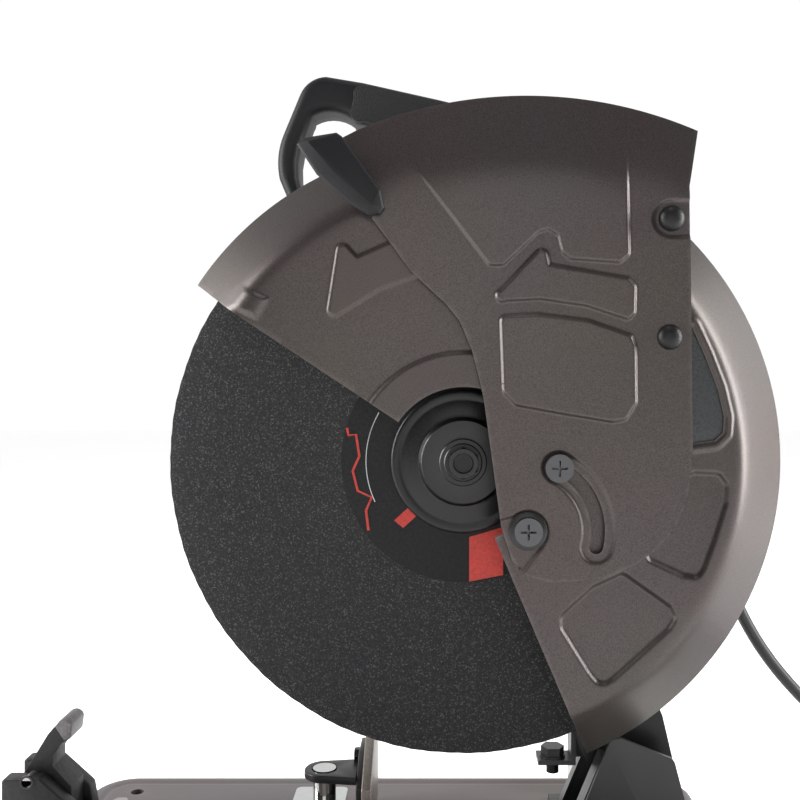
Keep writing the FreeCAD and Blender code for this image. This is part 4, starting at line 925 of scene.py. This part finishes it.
def plug_pieces():
    """Strain relief, moulded body and two round pins."""
    spot = over_floor(308, -23, 18.5)
    relief = [(5.0, 0.0), (5.9, 0.0)]
    for index in range(5):
        start = 3.0 + index * 4.6
        wide = 6.1 + index * 0.75
        relief += [(wide, -start + 2.2), (wide, -start), (wide - 1.1, -start - 0.6),
                   (wide - 1.0, -start - 2.2)]
    relief += [(10.0, -26.0), (5.0, -26.0)]
    neck = piece("plug_relief", lathe("plug_relief", relief, spot, "X", steps=48), CORD_RUBBER, "root")
    body = [(0.0, -25.5), (13.0, -25.5), (16.5, -27.0), (18.2, -30.0), (18.4, -35.0)]
    for index in range(4):
        start = -37.0 - index * 4.5
        body += [(18.4, start), (17.5, start - 0.7), (17.5, start - 1.9), (18.4, start - 2.6)]
    body += [(18.4, -58.0), (17.8, -60.4), (16.4, -61.8), (13.5, -62.0), (13.2, -61.2), (0.0, -61.2)]
    shell = piece("plug_body", lathe("plug_body", body, spot, "X", steps=72), CORD_RUBBER, "root",
                  ["plug"])
    pins = []
    for side in (-1, 1):
        pin = [(0.0, -60.0), (2.4, -60.0), (2.4, -79.6), (1.9, -80.6), (0.0, -81.0)]
        pins.append(lathe("pin", pin, spot + Vector((0, side * 9.5 * MM, 0)), "X", steps=24))
    prongs = piece("plug_pins", join_meshes("plug_pins", pins), CHROME, "root")
    return [neck, shell, prongs]


def cord():
    route = [over_floor(*point) for point in CORD_ROUTE + coil_points() + TAIL]
    centre = cord_curve("cord_line", route, 0.0)
    path = [tuple(vertex.co) for vertex in centre.vertices]
    tube = cord_curve("mains_cord", route, CORD_DIAMETER / 2 * MM)
    tube.materials.clear()
    tube.materials.append(CORD_RUBBER)
    tube.shade_smooth()
    made = added("mains_cord", tube)
    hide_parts("cord", "cord_coil")
    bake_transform(made)
    length = sum((Vector(b) - Vector(a)).length for a, b in zip(path, path[1:]))
    extras = [cord_tie()] + plug_pieces()


def cord_gland():
    tip = over_floor(98, 137, 326)
    nose = [(4.6, 0.9), (5.5, 0.9)]
    for index in range(5):
        start = -1.6 - index * 3.7
        wide = 5.8 + index * 0.5
        nose += [(wide, start + 1.2), (wide, start - 0.8), (wide - 0.8, start - 1.3),
                 (wide - 0.7, start - 2.1)]
    nose += [(8.4, -19.6), (9.2, -20.0), (9.2, -22.3), (6.0, -22.4), (6.0, -27.0), (4.6, -27.0)]
    piece("gland_nose", lathe("gland_nose", nose, tip, "X", steps=48), RUBBER, "head",
          ["cord_gland"])


# ---- handle and trigger -------------------------------------------------------------
HANDLE_OUTER = curved([(60, 112), (66, 150), (62, 200), (40, 219), (-15, 232), (-64, 243), (-88, 247),
                       (-105, 235.5, -98.5, 243.5), (-116, 209), (-118.5, 180, -119.5, 194), (-106, 150),
                       (-60, 112, -88, 124)])
HANDLE_INNER = curved([(15, 140), (34, 168, 30, 148), (0, 200, 25, 190), (-68, 216), (-97, 221, -84, 224),
                       (-104.5, 200), (-70, 140, -98, 160)])
HANDLE_SPLIT = 55.0
HANDLE_HALF = 16.0
HANDLE_SCREWS = ((50, 130), (48, 205), (-103.5, 222), (-92, 142))


def handle():
    """Two moulded halves, the grip insert and the screw seats on the far side."""
    near = HANDLE_SPLIT - HANDLE_HALF
    far = HANDLE_SPLIT + HANDLE_HALF
    left = block("handle_near", HANDLE_OUTER, near, HANDLE_SPLIT - 0.15, bevel=6.0, holes=[HANDLE_INNER],
                 segments=5, full=near)
    piece("handle_near", left, PLASTIC, "head", ["handle_left"])
    right = block("handle_far", HANDLE_OUTER, HANDLE_SPLIT + 0.15, far, bevel=6.0, holes=[HANDLE_INNER],
                  segments=5, full=far)
    piece("handle_far", right, PLASTIC, "head", ["handle_right"])
    patch = curved([(-62, 239.5), (-69.5, 232, -68.5, 238), (-71, 225), (-64, 216.5, -70, 218), (0, 201.5),
                    (9, 200), (9, 223)])
    grip = block("grip_rubber", patch, near - 0.7, far + 0.7, bevel=0.7, segments=3)
    piece("grip_rubber", grip, GRIP_RUBBER, "head", ["grip_insert"])
    heads = []
    for x, z in HANDLE_SCREWS:
        dish = [(0.0, far - 1.4), (3.9, far - 1.4), (4.3, far - 0.6), (4.6, far + 0.15), (5.6, far + 0.15),
                (5.6, far - 2.0), (0.0, far - 2.0)]
        heads.append(lathe("seat", dish, at(x, 0, z), steps=32))
    piece("handle_seats", join_meshes("handle_seats", heads), DARK_STEEL, "head",
          ["handle_screws"])


def trigger():
    outline = curved([(-3, 204), (-3, 213), (-12, 214.5), (-56, 217.5), (-58, 204),
                      (-50, 200.5, -55.5, 200.5), (-30, 201.5)])
    lever = block("trigger_lever", outline, HANDLE_SPLIT - 6, HANDLE_SPLIT + 6, bevel=1.8, segments=4)
    piece("trigger_lever", lever, TRIGGER_PLASTIC, "trigger", ["trigger"])


# ---- small parts of the lower guard -------------------------------------------------
def from_cover(x, depth, z):
    """Point from the lower guard's pivot in millimetres."""
    return at(PIVOT[0] + x, depth, z + PIVOT[1])


def thumb_tab():
    """Moulded wedge: two long facets that meet in a crease."""
    outline = [(-131, 219), (-127, 222.5), (-108.5, 225.5), (-105.5, 223.5), (-90.5, 198.5), (-83.5, 193),
               (-81.5, 183), (-84, 179.5), (-90, 178.5), (-101.5, 185.5), (-120, 202.5)]
    inset = shrink(outline, 1.2)
    crease = [(-124, 219.5), (-110, 203), (-96, 190), (-88, 184)]
    made = bmesh.new()
    for level, points in ((-COVER_FACE, outline), (-41.5, outline), (-42.6, inset), (-45.0, crease)):
        for x, z in points:
            made.verts.new(from_cover(x, level, z))
    hull = bmesh.ops.convex_hull(made, input=made.verts)
    spare = hull["geom_interior"] + hull["geom_unused"]
    corners = list(dict.fromkeys(part for part in spare if isinstance(part, bmesh.types.BMVert)))
    bmesh.ops.delete(made, geom=corners, context="VERTS")
    bmesh.ops.dissolve_limit(made, angle_limit=0.06, verts=made.verts, edges=made.edges)
    creases = [edge for edge in made.edges if len(edge.link_faces) == 2 and edge.calc_face_angle(0) > 0.15]
    bmesh.ops.bevel(made, geom=creases, offset=0.45 * MM, segments=2, profile=0.5, affect="EDGES",
                    clamp_overlap=True)
    piece("tab_body", finished(made, "tab_body", 25), PLASTIC, "lower_guard",
          ["thumb_tab"])


def bumpers():
    meshes = []
    for x, z in BUMPERS:
        dome = [(0.0, -42.9), (2.2, -42.7), (4.2, -42.0), (5.8, -40.9), (6.9, -39.6), (7.3, -38.4),
                (7.4, -37.2), (2.5, -37.0), (2.5, -34.0), (0.0, -34.0)]
        meshes.append(lathe("bumper", dome, from_cover(x, 0, z), steps=48))
    piece("rubber_bumpers", join_meshes("rubber_bumpers", meshes), RUBBER, "lower_guard",
          ["guard_bumpers"])


# ---- vise ---------------------------------------------------------------------------
SCREW_DEPTH = 43.0
TOP = 55.0 - HUB_Z / MM


def vise_block():
    near = SCREW_DEPTH - 22.0
    profile = [(-290, TOP - 20), (-290, -203.5), (-287.5, -202), (-266, -202), (-246, -220), (-242, TOP),
               (-264.2, TOP), (-264.2, TOP - 20)]
    meshes = []
    for depth in (near, near + 33.0):
        meshes.append(block("cheek", profile, depth, depth + 11.0, bevel=1.3))
    low = [(-290, TOP - 20), (-290, -231), (-243.6, -231), (-242, TOP), (-264.2, TOP), (-264.2, TOP - 20)]
    meshes.append(block("saddle", low, near + 10.5, near + 33.5, bevel=0.8))
    foot = [(-256, TOP), (-256, TOP + 6), (-218, TOP + 6), (-218, TOP)]
    meshes.append(block("foot", foot, SCREW_DEPTH - 30, SCREW_DEPTH + 30, bevel=1.2))
    piece("vise_casting", join_meshes("vise_casting", meshes), CAST_BLACK, "root",
          ["vise_nut_block"])
    dimple = [(0.0, 0.25), (2.6, 0.25), (3.2, -0.35), (4.2, -0.35), (4.2, 1.0), (0.0, 1.0)]
    piece("lever_pin_end", lathe("lever_pin_end", dimple, at(-274, near, 94.7 - HUB_Z / MM), steps=32),
          DARK_STEEL, "root")


def nut_lever():
    outline = curved([(-281, -204), (-265, -178), (-257.5, -169.5), (-250, -172.5, -252.5, -169.5),
                      (-251, -181),
                      (-257, -184.5), (-262, -192), (-262, -199), (-250, -212), (-250, -229.3),
                      (-268, -229.3), (-281, -211)], count=6)
    lever = block("lever_casting", outline, SCREW_DEPTH - 10.5, SCREW_DEPTH + 10.5, bevel=2.4, segments=4)
    piece("lever_casting", lever, CAST_BLACK, "nut_lever", ["nut_lever"])
    tip = curved([(-257.8, -169.6), (-249.6, -172.5, -252.5, -169.0), (-250.6, -180.4), (-254.6, -182.2),
                  (-260.6, -173.2)], count=6)
    worn = block("lever_tip", tip, SCREW_DEPTH - 10.8, SCREW_DEPTH + 10.8, bevel=2.4, segments=4)
    piece("lever_tip", worn, WORN_METAL, "nut_lever")


def jaw():
    """Clamping plate, its backing with a lug round the upright pin, and two bolts."""
    face = HUB_X / MM - 57.0

    def place_x(y, depth, z):
        return Vector(((face + depth) * MM, y * MM, z * MM))

    middle_y = WHEEL_Y / MM + SCREW_DEPTH
    plate = [(middle_y - 27, 58), (middle_y + 47, 58), (middle_y + 47, 112), (middle_y + 8, 112),
             (middle_y - 27, 92)]
    shell = block("jaw_plate", plate, -6, 0, bevel=0.9, place=place_x)
    piece("jaw_plate", shell, JAW_STEEL, "vise_jaw", ["vise_jaw"])
    backing = [(middle_y - 20, 62), (middle_y + 30, 62), (middle_y + 30, 104), (middle_y + 4, 104),
               (middle_y - 20, 90)]
    rear = block("jaw_backing", backing, -10, -6, bevel=0.8, place=place_x)
    pin_x = face - 32.0

    def place_z(x, z, y):
        return Vector((x * MM, y * MM, z * MM))

    lug = curved([(pin_x, middle_y - 13, pin_x - 13, middle_y), (face - 10, middle_y - 16),
                  (face - 10, middle_y + 16), (pin_x, middle_y + 13)], count=16)
    ear = block("jaw_lug", lug, 90.0, 95.0, bevel=0.9, place=place_z,
                holes=[circle((pin_x, middle_y), 8.0)])
    piece("jaw_bracket", join_meshes("jaw_bracket", [rear, ear]), BLACK_PAINT, "vise_jaw")
    for index, (y, z) in enumerate(((middle_y - 12, 70), (middle_y + 18, 97))):
        hex_head("jaw_bolt_%d" % index, Vector(((face - 10) * MM, y * MM, z * MM)), 8.0, 4.0, (-1, 0, 0),
                 "vise_jaw")


# ---- base ---------------------------------------------------------------------------
BENCH_HOLE = 4.5
BENCH_BOLTS = [(x, y) for x in (-180, 180) for y in (-110, 110)]
BASE_TOP = 55.0


def base_shell():
    """Pressed pan with stamped lines, the wheel's slot and a post under each bench hole."""
    half_x, half_y, corner, fillet = 215.0, 140.0, 30.0, 8.0
    outline = []
    for cx, cy, start in ((1, 1, 0), (-1, 1, 90), (-1, -1, 180), (1, -1, 270)):
        outline += arc_points((cx * (half_x - corner), cy * (half_y - corner)), corner, start, start + 90,
                              16)
    slot = (-136.0, 61.0)
    wheel_y = WHEEL_Y / MM
    holes = [[(slot[0], wheel_y - 9), (slot[1], wheel_y - 9), (slot[1], wheel_y + 9),
              (slot[0], wheel_y + 9)]]
    holes += [circle(spot, BENCH_HOLE, 20) for spot in BENCH_BOLTS]

    def height(points):
        inward = -segment_distance(points, outline)
        curve = np.clip(fillet - inward, 0, fillet)
        z = BASE_TOP - fillet + np.sqrt(fillet ** 2 - curve ** 2)
        line = 1 - step(np.abs(inward - 14.0), 0.5, 2.2)
        z -= 0.9 * line
        for y in (92.0, 66.0, -40.0, -66.0, -92.0):
            run = capsule(points, (-180, y), (85, y), 1.5)
            z -= 0.8 * (1 - step(run, -1.0, 1.0))
        return z

    def place(x, z, y):
        return Vector((x * MM, y * MM, z * MM))

    def on_rim(spot):
        return min(half_x - abs(spot.x), half_y - abs(spot.y)) < 0.2 or (
            abs(math.hypot(abs(spot.x) - half_x + corner, abs(spot.y) - half_y + corner) - corner) < 0.4
            and abs(spot.x) > half_x - corner and abs(spot.y) > half_y - corner)

    mesh = sheet_mesh("base_shell", outline, holes, height, place, (0, 0, 1), 2.2, 2.4, lip=(on_rim, 12.0))
    posts = []
    for x, y in BENCH_BOLTS:
        post = [(BENCH_HOLE, 12), (BENCH_HOLE, 53.5), (10, 53.5), (10, 12)]
        posts.append(lathe("post", post, Vector((x * MM, y * MM, 0)), "Z", steps=36))
    piece("base_shell", join_meshes("base_shell", [mesh] + posts), BASE_PAINT, "root",
          ["base_pan"])


GRIP_RUBBER = material("grip_rubber", (0.016, 0.016, 0.017), 0.66, grain=800, spread=0.2, bump=0.5,
                       fine=900.0)
TRIGGER_PLASTIC = material("trigger_plastic", (0.018, 0.018, 0.02), 0.35, grain=900, spread=0.1, bump=0.05)
WORN_METAL = material("worn_metal", (0.16, 0.15, 0.145), 0.4, metallic=0.7, grain=500, spread=0.25,
                      bump=0.25, wear=0.3)
JAW_STEEL = material("jaw_steel", (0.24, 0.205, 0.19), 0.42, metallic=0.7, grain=500, spread=0.15,
                     bump=0.12, wear=0.35)


# ---- studio -------------------------------------------------------------------------
def floor():
    size = 6.0
    mesh = mesh_of("studio_floor", [(-size, -size, 0), (size, -size, 0), (size, size, 0), (-size, size, 0)],
                   [(0, 1, 2, 3)])
    ground = added("studio_floor", mesh)
    white = bpy.data.materials.new("studio_white")
    white.use_nodes = True
    shader = white.node_tree.nodes["Principled BSDF"]
    shader.inputs["Base Color"].default_value = (0.97, 0.97, 0.97, 1)
    shader.inputs["Roughness"].default_value = 0.9
    shader.inputs["Emission Color"].default_value = (1, 1, 1, 1)
    shader.inputs["Emission Strength"].default_value = 0.55
    mesh.materials.append(white)


def lamp(name, place, target, size, energy, tall=None):
    light = bpy.data.lights.new(name, "AREA")
    light.size = size
    light.energy = energy
    if tall:
        light.shape = "RECTANGLE"
        light.size_y = tall
    made = added(name, light)
    made.location = place
    made.rotation_euler = (Vector(target) - Vector(place)).to_track_quat("-Z", "Y").to_euler()


def studio():
    """Pale floor, backdrop and four soft lamps."""
    floor()
    world = bpy.data.worlds.new("studio")
    bpy.context.scene.world = world
    world.use_nodes = True
    nodes = world.node_tree.nodes
    links = world.node_tree.links
    place = nodes.new("ShaderNodeTexCoord")
    split = nodes.new("ShaderNodeSeparateXYZ")
    links.new(place.outputs["Generated"], split.inputs["Vector"])
    # Dark in front of the saw, so that it isn't washed out, and white behind it.
    backdrop = colour_ramp(nodes, (0.0, 0.45), ((0.07, 0.07, 0.07), (1.02, 1.02, 1.02)))
    links.new(split.outputs["Y"], backdrop.inputs["Fac"])
    links.new(backdrop.outputs["Color"], nodes["Background"].inputs["Color"])
    target = (0.03, 0.02, 0.30)
    lamp("front", (0.1, -1.9, 0.75), target, 1.0, 5)
    lamp("right", (1.5, -0.12, 0.6), target, 0.4, 30, tall=1.2)
    lamp("left", (-1.5, -0.16, 0.75), target, 0.4, 34, tall=1.2)
    lamp("top", (0.1, -0.4, 1.8), target, 0.6, 3)


def camera():
    lens = bpy.data.cameras.new("camera")
    lens.lens = 43.2
    lens.sensor_width = 36.0
    lens.shift_x = -0.05
    lens.shift_y = -0.025
    made = added("camera", lens)
    made.location = (0.0353, -0.573, 0.348)
    made.rotation_euler = (math.radians(90), 0, 0)
    bpy.context.scene.camera = made
    bpy.context.scene.view_settings.view_transform = "Standard"


def main():
    camera()
    cord()
    cord_gland()
    paint_cad_nodes()
    movable_guard()
    fixed_guard()
    front_screws()
    wheel()
    paper_label()
    wheel_flange()
    handle()
    trigger()
    thumb_tab()
    bumpers()
    vise_block()
    nut_lever()
    jaw()
    base_shell()
    studio()


main()
